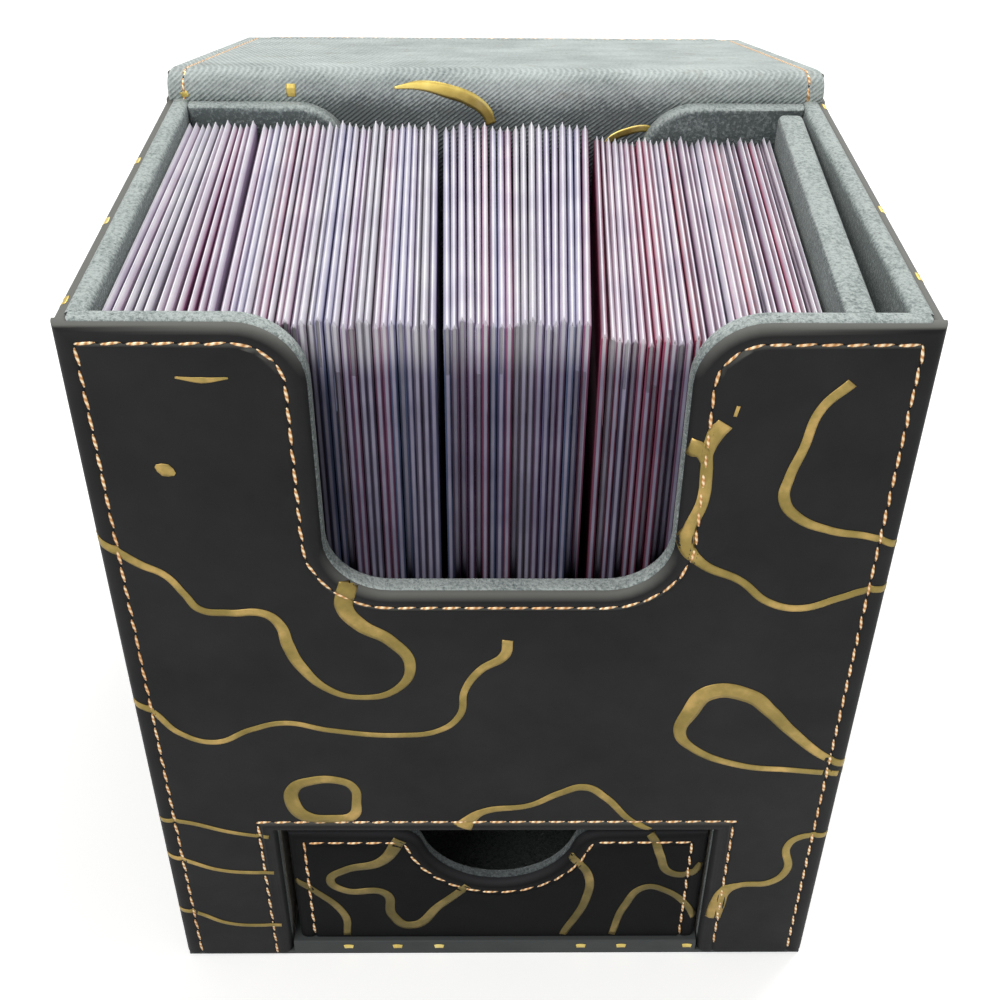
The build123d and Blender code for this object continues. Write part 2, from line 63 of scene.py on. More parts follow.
bpy.context.scene.collection.objects.link(camera)
look = Vector((0.01184, 0.79931, -0.60080))
upwards = Vector((-0.00098, 0.60085, 0.79936))
camera.matrix_world = Matrix.Translation(Vector(CAMERA_PLACE) * MM) @ Matrix(
    (look.cross(upwards), upwards, -look)
).transposed().to_4x4()
bpy.context.scene.camera = camera

# ---------------------------------------------------------------- front wall leather
# The front is soft-touch polyurethane leather glued over board. Its edge is turned over a
# thin roll of padding and sewn down, so it swells between the seam and the edge.
CASE_HALF_WIDTH = 55.0
CASE_FRONT = -39.5
CASE_BACK = 39.5
CASE_BOTTOM = 0.8
CASE_TOP = 128.5
DIP_HALF_WIDTH = 24.3
DIP_BOTTOM = 85.3
DIP_RADIUS = 9.0
MOUTH_HALF_WIDTH = 36.2
MOUTH_TOP = 33.4
LEATHER_DEPTH = 1.8
SEAM_INSET = 2.7
OVERCUT = 5.0


def linear(colour):
    """An sRGB hex colour as the linear colour that a shader socket takes."""
    channels = [int(colour[start:start + 2], 16) / 255 for start in (1, 3, 5)]
    return [c / 12.92 if c <= 0.04045 else ((c + 0.055) / 1.055) ** 2.4 for c in channels] + [1.0]


def add_node(tree, kind, inputs=None, out=0, stops=(), **settings):
    """Adds a shader node, sets its options, sets or links its inputs, and returns an output.

    The stops of a colour ramp are given as (place, hex colour). Sockets that share a name go
    by number: a Mix node takes numbers at 2 and 3 and colours at 6 and 7, and gives a mixed
    colour at 2.
    """
    made = tree.nodes.new("ShaderNode" + kind)
    for option, value in settings.items():
        setattr(made, option, value)
    for socket, value in (inputs or {}).items():
        if isinstance(value, bpy.types.NodeSocket):
            tree.links.new(value, made.inputs[socket])
        else:
            made.inputs[socket].default_value = value
    while stops and len(made.color_ramp.elements) < len(stops):
        made.color_ramp.elements.new(0.5)
    for index, (position, colour) in enumerate(stops):
        element = made.color_ramp.elements[index]
        element.position = position
        element.color = linear(colour)
    return made.outputs[out] if len(made.outputs) else None


def start_material(name):
    """An empty material, the way to add nodes to it, and the object coordinates to paint by."""
    material = bpy.data.materials.new(name)
    material.use_nodes = True
    material.node_tree.nodes.clear()
    add = partial(add_node, material.node_tree)
    return material, add, add("TexCoord", out="Object")


def soft_touch_leather(name, dark, light, brightening, index):
    """Embossed polyurethane leather: a fine close grain, matte. Its parts that face up are painted
    paler, towards the fourth colour given: a painted highlight. Its refraction is low, because the coating
    hardly shines.
    """
    material, add, place = start_material(name)
    patches = add("TexNoise", {"Vector": place, "Scale": 1 / (16 * MM), "Detail": 4, "Roughness": 0.6})
    colour = add("ValToRGB", {"Fac": patches}, stops=[(0.35, dark), (0.68, light)])
    upward = add("SeparateXYZ", {"Vector": add("TexCoord", out="Normal")}, "Z")
    # Faces that turn upwards are painted towards the paler fourth colour: a painted highlight.
    edge = add("MapRange", {"Value": upward, "From Min": 0.1, "From Max": 0.8})
    colour = add("Mix", {"Factor": edge, 6: colour, 7: linear(brightening)}, 2, data_type="RGBA")
    rubbed = add("TexNoise", {"Vector": place, "Scale": 1 / (5 * MM), "Detail": 5, "Roughness": 0.65})
    waves = add("TexNoise", {"Vector": place, "Scale": 1 / (11 * MM)})
    waves = add("Bump", {"Height": waves, "Distance": 0.35 * MM, "Strength": 0.5})
    grain = add("TexNoise", {"Vector": place, "Scale": 1 / (0.32 * MM), "Detail": 3, "Roughness": 0.6})
    add("OutputMaterial", {"Surface": add("BsdfPrincipled", {
        "Base Color": colour, "IOR": index,
        "Roughness": add("MapRange", {"Value": rubbed, "To Min": 0.56, "To Max": 0.72}),
        "Normal": add("Bump", {"Height": grain, "Distance": 0.02 * MM, "Strength": 0.7, "Normal": waves}),
        "Sheen Weight": 0.04, "Sheen Roughness": 0.45, "Sheen Tint": linear("#b9bdc4"),
    })})
    return material


def plane_of(origin, across, up):
    """Matrix of a panel's plane: local X across it, local Y up it, local Z out of it."""
    across = Vector(across).normalized()
    up = Vector(up).normalized()
    axes = Matrix((across, up, across.cross(up))).transposed().to_4x4()
    return Matrix.Translation(Vector(origin) * MM) @ axes


def flat_outline(bm, corners):
    """One face through corners given as (x, y, radius) in millimetres, its corners rounded."""
    made = [(bm.verts.new((x * MM, y * MM, 0)), radius) for x, y, radius in corners]
    bm.faces.new([vert for vert, radius in made])
    for size in sorted({radius for vert, radius in made if radius}):
        bmesh.ops.bevel(
            bm, geom=[vert for vert, radius in made if radius == size], offset=size * MM,
            offset_type="OFFSET", segments=max(3, round(size)), profile=0.5, affect="VERTICES",
            material=-1, clamp_overlap=False,
        )


def thicken(bm, thickness, roll, back_roll=0.0):
    """Makes a flat face a plate with a rounded rim: its face at local Z 0, its back below it."""
    grown = bmesh.ops.extrude_face_region(bm, geom=bm.faces[:])
    moved = [item for item in grown["geom"] if isinstance(item, bmesh.types.BMVert)]
    bmesh.ops.translate(bm, vec=(0, 0, -thickness * MM), verts=moved)
    bmesh.ops.recalc_face_normals(bm, faces=bm.faces[:])
    for level, size in ((0, roll), (-thickness, back_roll)):
        if size:
            rim = [e for e in bm.edges if all(abs(v.co.z - level * MM) < 1e-7 for v in e.verts)]
            bmesh.ops.bevel(
                bm, geom=rim, offset=size * MM, offset_type="OFFSET", segments=5, profile=0.5,
                affect="EDGES", material=-1, clamp_overlap=False,
            )
    return max((f for f in bm.faces if f.normal.z > 0.99), key=lambda f: f.calc_area())


def plate(bm, corners, thickness, roll, back_roll=0.0):
    """A plate of this outline, in millimetres."""
    flat_outline(bm, corners)
    return thicken(bm, thickness, roll, back_roll)


def sink_seam(bm, face, roll, inset, depth=0.35, half_width=0.55):
    """Presses a seam into a plate's face, and returns the line that the thread follows."""
    bmesh.ops.inset_region(bm, faces=[face], thickness=(inset - roll - half_width) * MM, use_even_offset=True)
    bmesh.ops.inset_region(
        bm, faces=[face], thickness=half_width * MM, depth=-depth * MM, use_even_offset=True
    )
    line = [vert.co.copy() for vert in face.verts]
    bmesh.ops.inset_region(
        bm, faces=[face], thickness=half_width * MM, depth=depth * MM, use_even_offset=True
    )
    return line


def cut_off(bm, point, outward):
    """Cuts a plate off square at a local point in millimetres and closes the cut."""
    bmesh.ops.triangulate(bm, faces=[face for face in bm.faces if len(face.verts) > 4])
    cut = bmesh.ops.bisect_plane(
        bm, geom=bm.verts[:] + bm.edges[:] + bm.faces[:], dist=1e-7,
        plane_co=Vector(point) * MM, plane_no=outward, clear_outer=True,
    )
    edges = [item for item in cut["geom_cut"] if isinstance(item, bmesh.types.BMEdge)]
    bmesh.ops.holes_fill(bm, edges=edges, sides=0)


def finish_piece(bm, name, material, body, plane=None, smooth_below=40.0):
    """Makes a mesh piece in its place, smooth except at its sharp edges.

    It rides one body, given by name. Given two bodies as (first, second, start, end), it is only fixed in
    place and rides neither.
    """
    if plane is not None:
        bm.transform(plane)
    bm.normal_update()
    bmesh.ops.triangulate(bm, faces=[face for face in bm.faces if len(face.verts) > 4])
    mesh = bpy.data.meshes.new(name)
    bm.to_mesh(mesh)
    bm.free()
    mesh.shade_smooth()
    mesh.set_sharp_from_angle(angle=math.radians(smooth_below))
    mesh.materials.append(material)
    piece = bpy.data.objects.new(name, mesh)
    bpy.context.scene.collection.objects.link(piece)
    weights = piece.modifiers.new("weighted_normals", "WEIGHTED_NORMAL")
    weights.keep_sharp = True
    if isinstance(body, str):
        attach(piece, body)
    else:
        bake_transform(piece)
    return piece


# Its fourth colour, #70706c, is the painted highlight on the parts that face up.
black_leather = soft_touch_leather("soft_touch_black_leather", "#131314", "#1e1e1f", "#70706c", 1.28)
front_plane = plane_of((0, CASE_FRONT, 0), (1, 0, 0), (0, 0, 1))
mouth_corners = [
    (-MOUTH_HALF_WIDTH, -OVERCUT, 0), (-MOUTH_HALF_WIDTH, MOUTH_TOP, 0),
    (MOUTH_HALF_WIDTH, MOUTH_TOP, 0), (MOUTH_HALF_WIDTH, -OVERCUT, 0),
]


def wall_corners(half_width, has_mouth, rise=0.0):
    """Outline of a wall with the U-shaped dip, its foot left long to be cut off square.

    Its top edge may stand a little higher than the wall, all along the dip.
    """
    foot = mouth_corners if has_mouth else []
    top, side = CASE_TOP + rise, DIP_HALF_WIDTH - rise
    outer, inner = DIP_RADIUS + rise, DIP_RADIUS - rise
    return [(-half_width, -OVERCUT, 0), *foot, (half_width, -OVERCUT, 0), (half_width, top, 0),
            (side, top, outer), (side, DIP_BOTTOM + rise, inner),
            (-side, DIP_BOTTOM + rise, inner), (-side, top, outer), (-half_width, top, 0)]


EDGE_ROLL = 1.5
bm = bmesh.new()
face = plate(bm, wall_corners(CASE_HALF_WIDTH, True), LEATHER_DEPTH, EDGE_ROLL)
front_seam = sink_seam(bm, face, EDGE_ROLL, SEAM_INSET)
cut_off(bm, (0, CASE_BOTTOM, 0), (0, -1, 0))
front_leather = finish_piece(bm, "front_leather_panel", black_leather, "case", front_plane)
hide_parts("front_leather")

# ---------------------------------------------------------------- seams
# Two-ply metallic thread, copper with painted gold highlights, in long lockstitches. Each stitch dives
# into a needle hole at both ends, and the holes are painted as dark pits between the stitches: painted shade.
STITCH_PITCH = 3.2
STITCH_LENGTH = 2.9
THREAD_WIDTH = 0.58
HOLE_WIDTH = 0.5
HOLE_DEPTH = 0.16
STITCH_LIFT = 0.02
FIRST_STITCH = 1.0


def metallic_thread(name):
    """Twisted metallised thread: each ply is painted pale where it turns up and brown in the grooves between,
    as painted highlight and painted shade.
    """
    material, add, place = start_material(name)
    around = add("TexCoord", out="UV")
    across, along = (add("SeparateXYZ", {"Vector": around}, axis) for axis in "XY")
    slant = add("Math", {0: along, 1: 4.0, 2: across}, operation="MULTIPLY_ADD")
    phase = add("Math", {0: slant, 1: math.tau}, operation="MULTIPLY")
    ply = add("Math", {0: phase}, operation="SINE")
    twist = add("MapRange", {"Value": ply, "From Min": -1.0, "From Max": 1.0})
    drift = add("TexNoise", {"Vector": place, "Scale": 1 / (9 * MM)})
    blend = add("Math", {0: twist, 1: drift}, operation="MULTIPLY")
    colour = add("ValToRGB", {"Fac": blend}, stops=[(0.0, "#b98350"), (0.22, "#e9b985"), (0.5, "#fbe6c2")])
    add("OutputMaterial", {"Surface": add("BsdfPrincipled", {
        "Base Color": colour, "Metallic": 0.55, "Roughness": 0.36,
        "Normal": add("Bump", {"Height": twist, "Distance": 0.05 * MM, "Strength": 0.8}),
    })})
    return material


def needle_hole(name):
    """The pit that a needle leaves in leather, painted nearly black with no shine: painted shade."""
    material, add, place = start_material(name)
    torn = add("TexNoise", {"Vector": place, "Scale": 1 / (0.4 * MM)})
    colour = add("ValToRGB", {"Fac": torn}, stops=[(0.3, "#0c0a09"), (0.7, "#1c1712")])
    shader = add("BsdfPrincipled", {"Base Color": colour, "Roughness": 0.9, "IOR": 1.3})
    add("OutputMaterial", {"Surface": shader})
    return material


copper_thread = metallic_thread("copper_gold_thread")
hole_shadow = needle_hole("needle_hole")
stitch_random = random.Random(31)


def ball_mesh(name, rings, material_index):
    """A small ball of radius 1 with eight sides, to be stretched and placed many times."""
    bm = bmesh.new()
    bm.loops.layers.uv.new("thread")
    bmesh.ops.create_uvsphere(bm, u_segments=8, v_segments=rings, radius=1.0, calc_uvs=True)
    for face in bm.faces:
        face.material_index = material_index
    mesh = bpy.data.meshes.new(name)
    bm.to_mesh(mesh)
    bm.free()
    return mesh


stitch_ball = ball_mesh("stitch_ball", 6, 0)
hole_ball = ball_mesh("hole_ball", 4, 1)


def stamp(bm, pattern, matrix):
    """Adds a copy of a small mesh in its place."""
    copy = pattern.copy()
    copy.transform(matrix)
    bm.from_mesh(copy)
    bpy.data.meshes.remove(copy)


def walk(path, pitch):
    """Points spaced evenly round a closed path, with the path's direction at each."""
    points = path + path[:1]
    lengths = [(b - a).length for a, b in zip(points, points[1:])]
    count = max(1, round(sum(lengths) / pitch))
    step = sum(lengths) / count
    made, travelled, segment = [], 0.0, 0
    for index in range(count):
        target = (index + 0.5) * step
        while travelled + lengths[segment] < target:
            travelled += lengths[segment]
            segment += 1
        start, end = points[segment], points[segment + 1]
        made.append((start.lerp(end, (target - travelled) / lengths[segment]), (end - start).normalized()))
    return made


def sew(name, path, plane, body, keep=lambda place: True, profile=None):
    """A row of stitches along a path drawn in a panel's plane, or on a sheet laid over a profile."""
    bm = bmesh.new()
    bm.loops.layers.uv.new("thread")
    for centre, along in walk(path, STITCH_PITCH * MM):
        if not keep(centre / MM):
            continue
        angle = math.atan2(along.y, along.x) + math.radians(stitch_random.uniform(2.0, 9.0))
        length = STITCH_LENGTH * stitch_random.uniform(0.94, 1.05) * MM / 2
        width = THREAD_WIDTH * stitch_random.uniform(0.92, 1.08) * MM / 2
        raised = Matrix.Translation(centre + Vector((0, 0, STITCH_LIFT * MM)))
        lying = Matrix.Rotation(angle, 4, "Z") @ Matrix.Rotation(math.pi / 2, 4, "Y")
        stamp(bm, stitch_ball, raised @ lying @ Matrix.Diagonal((width, width, length, 1)))
        hole = centre + along * STITCH_PITCH * MM / 2
        pit = Vector((HOLE_WIDTH, HOLE_WIDTH, HOLE_DEPTH)) * MM / 2
        stamp(bm, hole_ball, Matrix.Translation(hole) @ Matrix.Diagonal((*pit, 1)))
    if profile:
        lay_along(bm, profile)
    piece = finish_piece(bm, name, copper_thread, body, plane, smooth_below=80.0)
    piece.data.materials.append(hole_shadow)


sew("front_seam_thread", front_seam, front_plane, "case", lambda place: place.y > CASE_BOTTOM + FIRST_STITCH)

# ---------------------------------------------------------------- side walls' leather
# The same leather goes round the corners and covers both sides, rolled over the top edge.
SIDE_FRONT = CASE_FRONT + LEATHER_DEPTH
COVER_THICKNESS = 3.6
SIDE_BACK = CASE_BACK - COVER_THICKNESS
TOP_ROLL = 0.85
side_planes = {
    "left": plane_of((-CASE_HALF_WIDTH, 0, 0), (0, -1, 0), (0, 0, 1)),
    "right": plane_of((CASE_HALF_WIDTH, 0, 0), (0, 1, 0), (0, 0, 1)),
}


def oblong(left, foot, right, top):
    """The four square corners of a plain panel."""
    return [(left, foot, 0), (right, foot, 0), (right, top, 0), (left, top, 0)]


def side_plate(bm, thickness, ahead, behind, roll, back_roll, foot, top=CASE_TOP):
    """A side wall's plate, with only its top edge rolled. Local X runs along the wall."""
    rough = oblong(ahead - OVERCUT, foot - OVERCUT, behind + OVERCUT, top)
    plate(bm, rough, thickness, roll, back_roll)
    cut_off(bm, (0, foot, 0), (0, -1, 0))
    cut_off(bm, (ahead, 0, 0), (-1, 0, 0))
    cut_off(bm, (behind, 0, 0), (1, 0, 0))


side_leathers = {}
for side, plane in side_planes.items():
    ends = (-SIDE_BACK, -SIDE_FRONT) if side == "left" else (SIDE_FRONT, SIDE_BACK)
    bm = bmesh.new()
    side_plate(bm, LEATHER_DEPTH, *ends, TOP_ROLL, TOP_ROLL, CASE_BOTTOM)
    panel = finish_piece(bm, side + "_leather_panel", black_leather, "case", plane)
    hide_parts(side + "_leather")
    side_leathers[side] = panel

# ---------------------------------------------------------------- back cover leather
# The cover is one sheet of leather. Its lowest part is glued over the back board, turned
# round the board's edges and sewn.
COVER_ROLL = 1.2
COVER_BACK_ROLL = 0.3
BACK_COVER_BACK_ROLL = 0.4
GLUE_GAP = 0.05
back_plane = plane_of((0, CASE_BACK, 0), (-1, 0, 0), (0, 0, 1))
back_corners = oblong(-CASE_HALF_WIDTH, CASE_BOTTOM, CASE_HALF_WIDTH, CASE_TOP)
bm = bmesh.new()
face = plate(bm, back_corners, COVER_THICKNESS - GLUE_GAP, COVER_ROLL, BACK_COVER_BACK_ROLL)
back_seam = sink_seam(bm, face, COVER_ROLL, SEAM_INSET)
back_leather = finish_piece(bm, "back_leather_panel", black_leather, "case", back_plane)
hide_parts("back_cover_leather")
sew("back_seam_thread", back_seam, back_plane, "case")

# ---------------------------------------------------------------- base leather
# A thinner sheet covers the base and comes up as a lip in front of the drawer. It is given a greyer
# colour than the rest of the leather.
base_leather_finish = soft_touch_leather("grey_base_leather", "#3f4242", "#494c4c", "#494c4c", 1.28)


def dress(node, material):
    """Gives a CAD node its material."""
    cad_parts[node].material_slots[0].material = material


dress("base_leather", base_leather_finish)

# ---------------------------------------------------------------- boards
# Grey recycled bookbinding board under every covering. It shows only where a bay or an edge
# isn't covered, and from the drawer's underside.


def greyboard(name):
    """Recycled board: dull grey-brown with fine flecks and a felt-like surface."""
    material, add, place = start_material(name)
    flecks = add("TexNoise", {"Vector": place, "Scale": 1 / (0.7 * MM), "Detail": 4, "Roughness": 0.7})
    colour = add("ValToRGB", {"Fac": flecks}, stops=[(0.3, "#77716a"), (0.5, "#8c867e"), (0.72, "#a39d93")])
    felt = add("TexNoise", {"Vector": place, "Scale": 1 / (0.25 * MM), "Detail": 3, "Roughness": 0.6})
    add("OutputMaterial", {"Surface": add("BsdfPrincipled", {
        "Base Color": colour, "Roughness": 0.88, "IOR": 1.45,
        "Normal": add("Bump", {"Height": felt, "Distance": 0.03 * MM, "Strength": 0.6}),
    })})
    return material


board_finish = greyboard("grey_bookbinding_board")
for part in (
    "front", "left", "right", "back_wall", "base", "shelf", "back_cover", "lid", "flap", "drawer_front",
    "drawer_left", "drawer_right", "drawer_back", "drawer_floor", "divider",
):
    dress(part + "_board", board_finish)
dress("left_drawer_guide", board_finish)
dress("right_drawer_guide", board_finish)

# ---------------------------------------------------------------- magnets
# Nickel-plated disc magnets, a pair in the front wall's board and a pair in the flap's.


def nickel_plate(name):
    """Nickel plating: bright warm grey metal with faint tumbling marks."""
    material, add, place = start_material(name)
    tarnish = add("TexNoise", {"Vector": place, "Scale": 1 / (2 * MM), "Detail": 3})
    marks = add("TexNoise", {"Vector": place, "Scale": 1 / (0.6 * MM), "Detail": 4})
    add("OutputMaterial", {"Surface": add("BsdfPrincipled", {
        "Base Color": add("ValToRGB", {"Fac": tarnish}, stops=[(0.3, "#a9a69f"), (0.7, "#c4c1b9")]),
        "Roughness": add("MapRange", {"Value": marks, "To Min": 0.22, "To Max": 0.38}), "Metallic": 1.0,
    })})
    return material


magnet_finish = nickel_plate("nickel_plated_magnet")
dress("case_magnets", magnet_finish)
dress("flap_magnets", magnet_finish)

# ---------------------------------------------------------------- linings
# Microfibre suede is glued inside every wall and turned over its top edge. Where it faces up it is
# painted paler, and on upright faces darker: painted highlight and painted shade.
LINING_DEPTH = 2.2
LINING_HALF_WIDTH = 53.2
ROOM_HALF_WIDTH = 51.0
ROOM_FRONT = -35.5
ROOM_BACK = 32.7
SHELF_TOP = 35.8
LINING_ROLL = 1.0
LINING_BACK_ROLL = 0.6
LINING_TUCK = 1.0


def microfibre(name, low, middle, high):
    """Short-napped suede cloth, speckled, painted paler where it faces up and darker where it
    stands upright: painted highlight and painted shade. The tufts are drawn half a millimetre across, to
    show.
    """
    material, add, place = start_material(name)
    brushed = add("TexNoise", {"Vector": place, "Scale": 1 / (7 * MM), "Detail": 4, "Roughness": 0.6})
    nap = add("TexNoise", {"Vector": place, "Scale": 1 / (0.5 * MM), "Detail": 3, "Roughness": 0.7})
    # Up-facing parts are painted paler and upright ones darker: painted highlight and painted shade.
    upward = add("SeparateXYZ", {"Vector": add("TexCoord", out="Normal")}, "Z")
    raised = add("MapRange", {
        "Value": upward, "From Min": 0.05, "From Max": 0.75, "To Min": -0.66, "To Max": -0.24,
    })
    mixed = add("Math", {0: nap, 1: 3.4, 2: brushed}, operation="MULTIPLY_ADD")
    level = add("Math", {0: mixed, 1: 0.4, 2: raised}, operation="MULTIPLY_ADD")
    add("OutputMaterial", {"Surface": add("BsdfPrincipled", {
        "Base Color": add("ValToRGB", {"Fac": level}, stops=[(0.2, low), (0.46, middle), (0.74, high)]),
        "Roughness": 0.95, "IOR": 1.35,
        "Normal": add("Bump", {"Height": nap, "Distance": 0.5 * MM, "Strength": 1.0}),
        "Sheen Weight": 0.5, "Sheen Roughness": 0.35, "Sheen Tint": linear("#dfe6e2"),
    })})
    return material


grey_microfibre = microfibre("grey_green_microfibre", "#5f6867", "#8f9997", "#c3ccc8")
dress("shelf_lining", grey_microfibre)
# A darker copy of the same cloth lines the drawer and its bay: painted shade for the deep shade there.
shaded_microfibre = microfibre("shaded_grey_microfibre", "#1b1f1f", "#2b3130", "#464d4b")
dress("bay_floor_lining", shaded_microfibre)
dress("drawer_lining", shaded_microfibre)


def line_wall(bm, name, plane):
    """Makes a plate of the wall's lining, which rides the case."""
    return finish_piece(bm, name, grey_microfibre, "case", plane)


bm = bmesh.new()
plate(bm, wall_corners(LINING_HALF_WIDTH, True), LINING_DEPTH, LINING_ROLL, LINING_BACK_ROLL)
cut_off(bm, (0, CASE_BOTTOM, 0), (0, -1, 0))
front_lining = line_wall(bm, "front_lining_panel", plane_of((0, ROOM_FRONT, 0), (-1, 0, 0), (0, 0, 1)))
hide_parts("front_lining")

# The lining is turned forward over the wall's top edge and stands a little above the leather.
LIP_RISE = 0.22
LIP_FOOT = 70.0
LIP_OVERLAP = 0.06
LIP_ROLL = 1.2
FRONT_LIP_BACK_ROLL = 0.9
SIDE_LIP_BACK_ROLL = 0.8
FRONT_LIP = 38.7
SIDE_LIP = 54.05
lip_plane = plane_of((0, ROOM_FRONT + LIP_OVERLAP, 0), (-1, 0, 0), (0, 0, 1))
lip_corners = wall_corners(LINING_HALF_WIDTH, False, LIP_RISE)
bm = bmesh.new()
plate(bm, lip_corners, FRONT_LIP + ROOM_FRONT + LIP_OVERLAP, LIP_ROLL, FRONT_LIP_BACK_ROLL)
cut_off(bm, (0, LIP_FOOT, 0), (0, -1, 0))
line_wall(bm, "front_lining_lip", lip_plane)

bm = bmesh.new()
plate(bm, wall_corners(ROOM_HALF_WIDTH, False), SIDE_BACK - ROOM_BACK, LINING_ROLL, LINING_BACK_ROLL)
cut_off(bm, (0, CASE_BOTTOM, 0), (0, -1, 0))
back_lining = line_wall(bm, "back_lining_panel", plane_of((0, ROOM_BACK, 0), (1, 0, 0), (0, 0, 1)))
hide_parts("back_wall_lining")

for side, out in (("left", -1), ("right", 1)):
    plane = plane_of((out * ROOM_HALF_WIDTH, 0, 0), (0, -out, 0), (0, 0, 1))
    bm = bmesh.new()
    ends = (ROOM_FRONT, SIDE_BACK) if side == "left" else (-SIDE_BACK, -ROOM_FRONT)
    side_plate(bm, LINING_DEPTH, *ends, LINING_ROLL, LINING_BACK_ROLL, SHELF_TOP - LINING_TUCK)
    panel = line_wall(bm, side + "_lining_panel", plane)
    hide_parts(side + "_lining")
    bm = bmesh.new()
    ends = (ROOM_FRONT - LINING_TUCK, SIDE_BACK) if side == "left" else (-SIDE_BACK, LINING_TUCK - ROOM_FRONT)
    side_plate(
        bm, SIDE_LIP - ROOM_HALF_WIDTH, *ends, LIP_ROLL, SIDE_LIP_BACK_ROLL, LIP_FOOT, CASE_TOP + LIP_RISE
    )
    lip_plane = Matrix.Translation(plane.to_3x3() @ Vector((0, 0, LIP_OVERLAP * MM))) @ plane
    line_wall(bm, side + "_lining_lip", lip_plane)

# ---------------------------------------------------------------- cover skin
# One sheet of printed twill lines the back cover, runs over the hinge and lines the lid.
# It is sewn to the leather along its edges with the same thread.
LID_TILT = math.radians(14.4)
LID_LENGTH = 79.0
LID_HINGE = (CASE_BACK, 130.8)
SKIN_FACE = 35.85
SKIN_DEPTH = 0.8
SKIN_ROLL = 0.6
SKIN_SEAM_DEPTH = 0.25
SKIN_HALF_WIDTH = 54.6
SKIN_MARGIN = 0.4
LID_SKIN_FACE = 1.85
TWILL_PITCH = 0.6
TWILL_SLANT = math.radians(-52.0)
WAVES_PER_SCALE = math.tau / 20
LID_START = 42.0
SHADE_FOOT = 126.5
SHADE_TOP = 130.0


def twill(name, low, middle, high):
    """Twill-woven lining with a faded print: diagonal ribs, brushed patches, faint brown marks.

    It is painted darker where it goes down inside the case: painted shade. The ribs are drawn coarse, to
    show.
    """
    material, add, place = start_material(name)
    ribs = add("TexWave", {
        "Vector": add("Mapping", {"Vector": place, "Rotation": (0.0, TWILL_SLANT, 0.0)}),
        "Scale": WAVES_PER_SCALE / (TWILL_PITCH * MM), "Distortion": 1.2, "Detail": 2.0, "Detail Scale": 2.5,
    }, "Fac", wave_type="BANDS", bands_direction="X", wave_profile="SIN")
    patches = add("TexNoise", {"Vector": place, "Scale": 1 / (14 * MM), "Detail": 4, "Roughness": 0.62})
    fuzz = add("TexNoise", {"Vector": place, "Scale": 1 / (0.45 * MM), "Detail": 3, "Roughness": 0.7})
    mixed = add("Math", {0: patches, 1: fuzz}, operation="ADD")
    woven = add("Math", {0: ribs, 1: 0.28, 2: mixed}, operation="MULTIPLY_ADD")
    tone = add("MapRange", {"Value": woven, "From Min": 0.7, "From Max": 1.6})
    # Below the case's top edge, except on the lid, the skin is painted darker: painted shade.
    behind, rise = (add("SeparateXYZ", {"Vector": place}, axis) for axis in "YZ")
    inside = add("MapRange", {
        "Value": rise, "From Min": SHADE_FOOT * MM, "From Max": SHADE_TOP * MM,
        "To Min": -0.55, "To Max": 0.0,
    })
    on_lid = add("Math", {0: behind, 1: LID_START * MM}, operation="GREATER_THAN")
    inside = add("Mix", {"Factor": on_lid, 2: inside, 3: 0.0})
    tone = add("Math", {0: tone, 1: inside}, operation="ADD")
    colour = add("ValToRGB", {"Fac": tone}, stops=[(0.0, "#6b7272"), (0.2, low), (0.5, middle), (0.8, high)])
    marks = add("TexNoise", {"Vector": place, "Scale": 1 / (6 * MM), "Detail": 5, "Roughness": 0.7})
    marks = add("MapRange", {"Value": marks, "From Min": 0.56, "From Max": 0.74, "To Max": 0.45})
    colour = add("Mix", {"Factor": marks, 6: colour, 7: linear("#7d7468")}, 2, data_type="RGBA")
    height = add("Math", {0: ribs, 1: fuzz}, operation="ADD")
    add("OutputMaterial", {"Surface": add("BsdfPrincipled", {
        "Base Color": colour, "Roughness": 0.93, "IOR": 1.35,
        "Normal": add("Bump", {"Height": height, "Distance": 0.16 * MM, "Strength": 0.8}),
        "Sheen Weight": 0.35, "Sheen Roughness": 0.4, "Sheen Tint": linear("#e6ece9"),
    })})
    return material


def along_lid(distance, height):
    """(y, z) of a point on the lid, this far from its hinge and above its middle, in millimetres."""
    return (
        LID_HINGE[0] + distance * math.cos(LID_TILT) + height * math.sin(LID_TILT),
        LID_HINGE[1] - distance * math.sin(LID_TILT) + height * math.cos(LID_TILT),
    )


def rounded(start, start_handle, end_handle, end, steps):
    """Points (y, z) along a smooth bend between two points."""
    knots = [Vector((*point, 0)) for point in (start, start_handle, end_handle, end)]
    return [(point.x, point.y) for point in geometry.interpolate_bezier(*knots, steps)]


def profile_length(profile):
    """Length of a profile of (y, z) points."""
    return sum(math.dist(a, b) for a, b in zip(profile, profile[1:]))


def lay_along(bm, profile):
    """Lays a flat sheet along a profile of (y, z): its local Y along it, its local Z out of it."""
    sides = []
    for start, end in zip(profile, profile[1:]):
        run = Vector((end[0] - start[0], end[1] - start[1]))
        sides.append((run.length, Vector((-run.y, run.x)).normalized()))
    outs = [(a[1] + b[1]).normalized() for a, b in zip(sides, sides[1:])]
    outs = [sides[0][1], *outs, sides[-1][1]]
    for vert in bm.verts:
        along, index = vert.co.y / MM, 0
        while index < len(sides) - 1 and along > sides[index][0]:
            along -= sides[index][0]
            index += 1
        share = along / sides[index][0]
        foot = Vector(profile[index]).lerp(Vector(profile[index + 1]), share)
        out = outs[index].lerp(outs[index + 1], min(max(share, 0.0), 1.0))
        y, z = foot * MM + out * vert.co.z
        vert.co = (vert.co.x, y, z)


def score(bm, profile, first, last):
    """Cuts a flat sheet across wherever its profile turns, so that it can bend there."""
    for index in range(first, last + 1):
        height = profile_length(profile[:index + 1]) * MM
        bmesh.ops.bisect_plane(
            bm, geom=bm.verts[:] + bm.edges[:] + bm.faces[:], dist=1e-7,
            plane_co=(0, height, 0), plane_no=(0, 1, 0),
        )


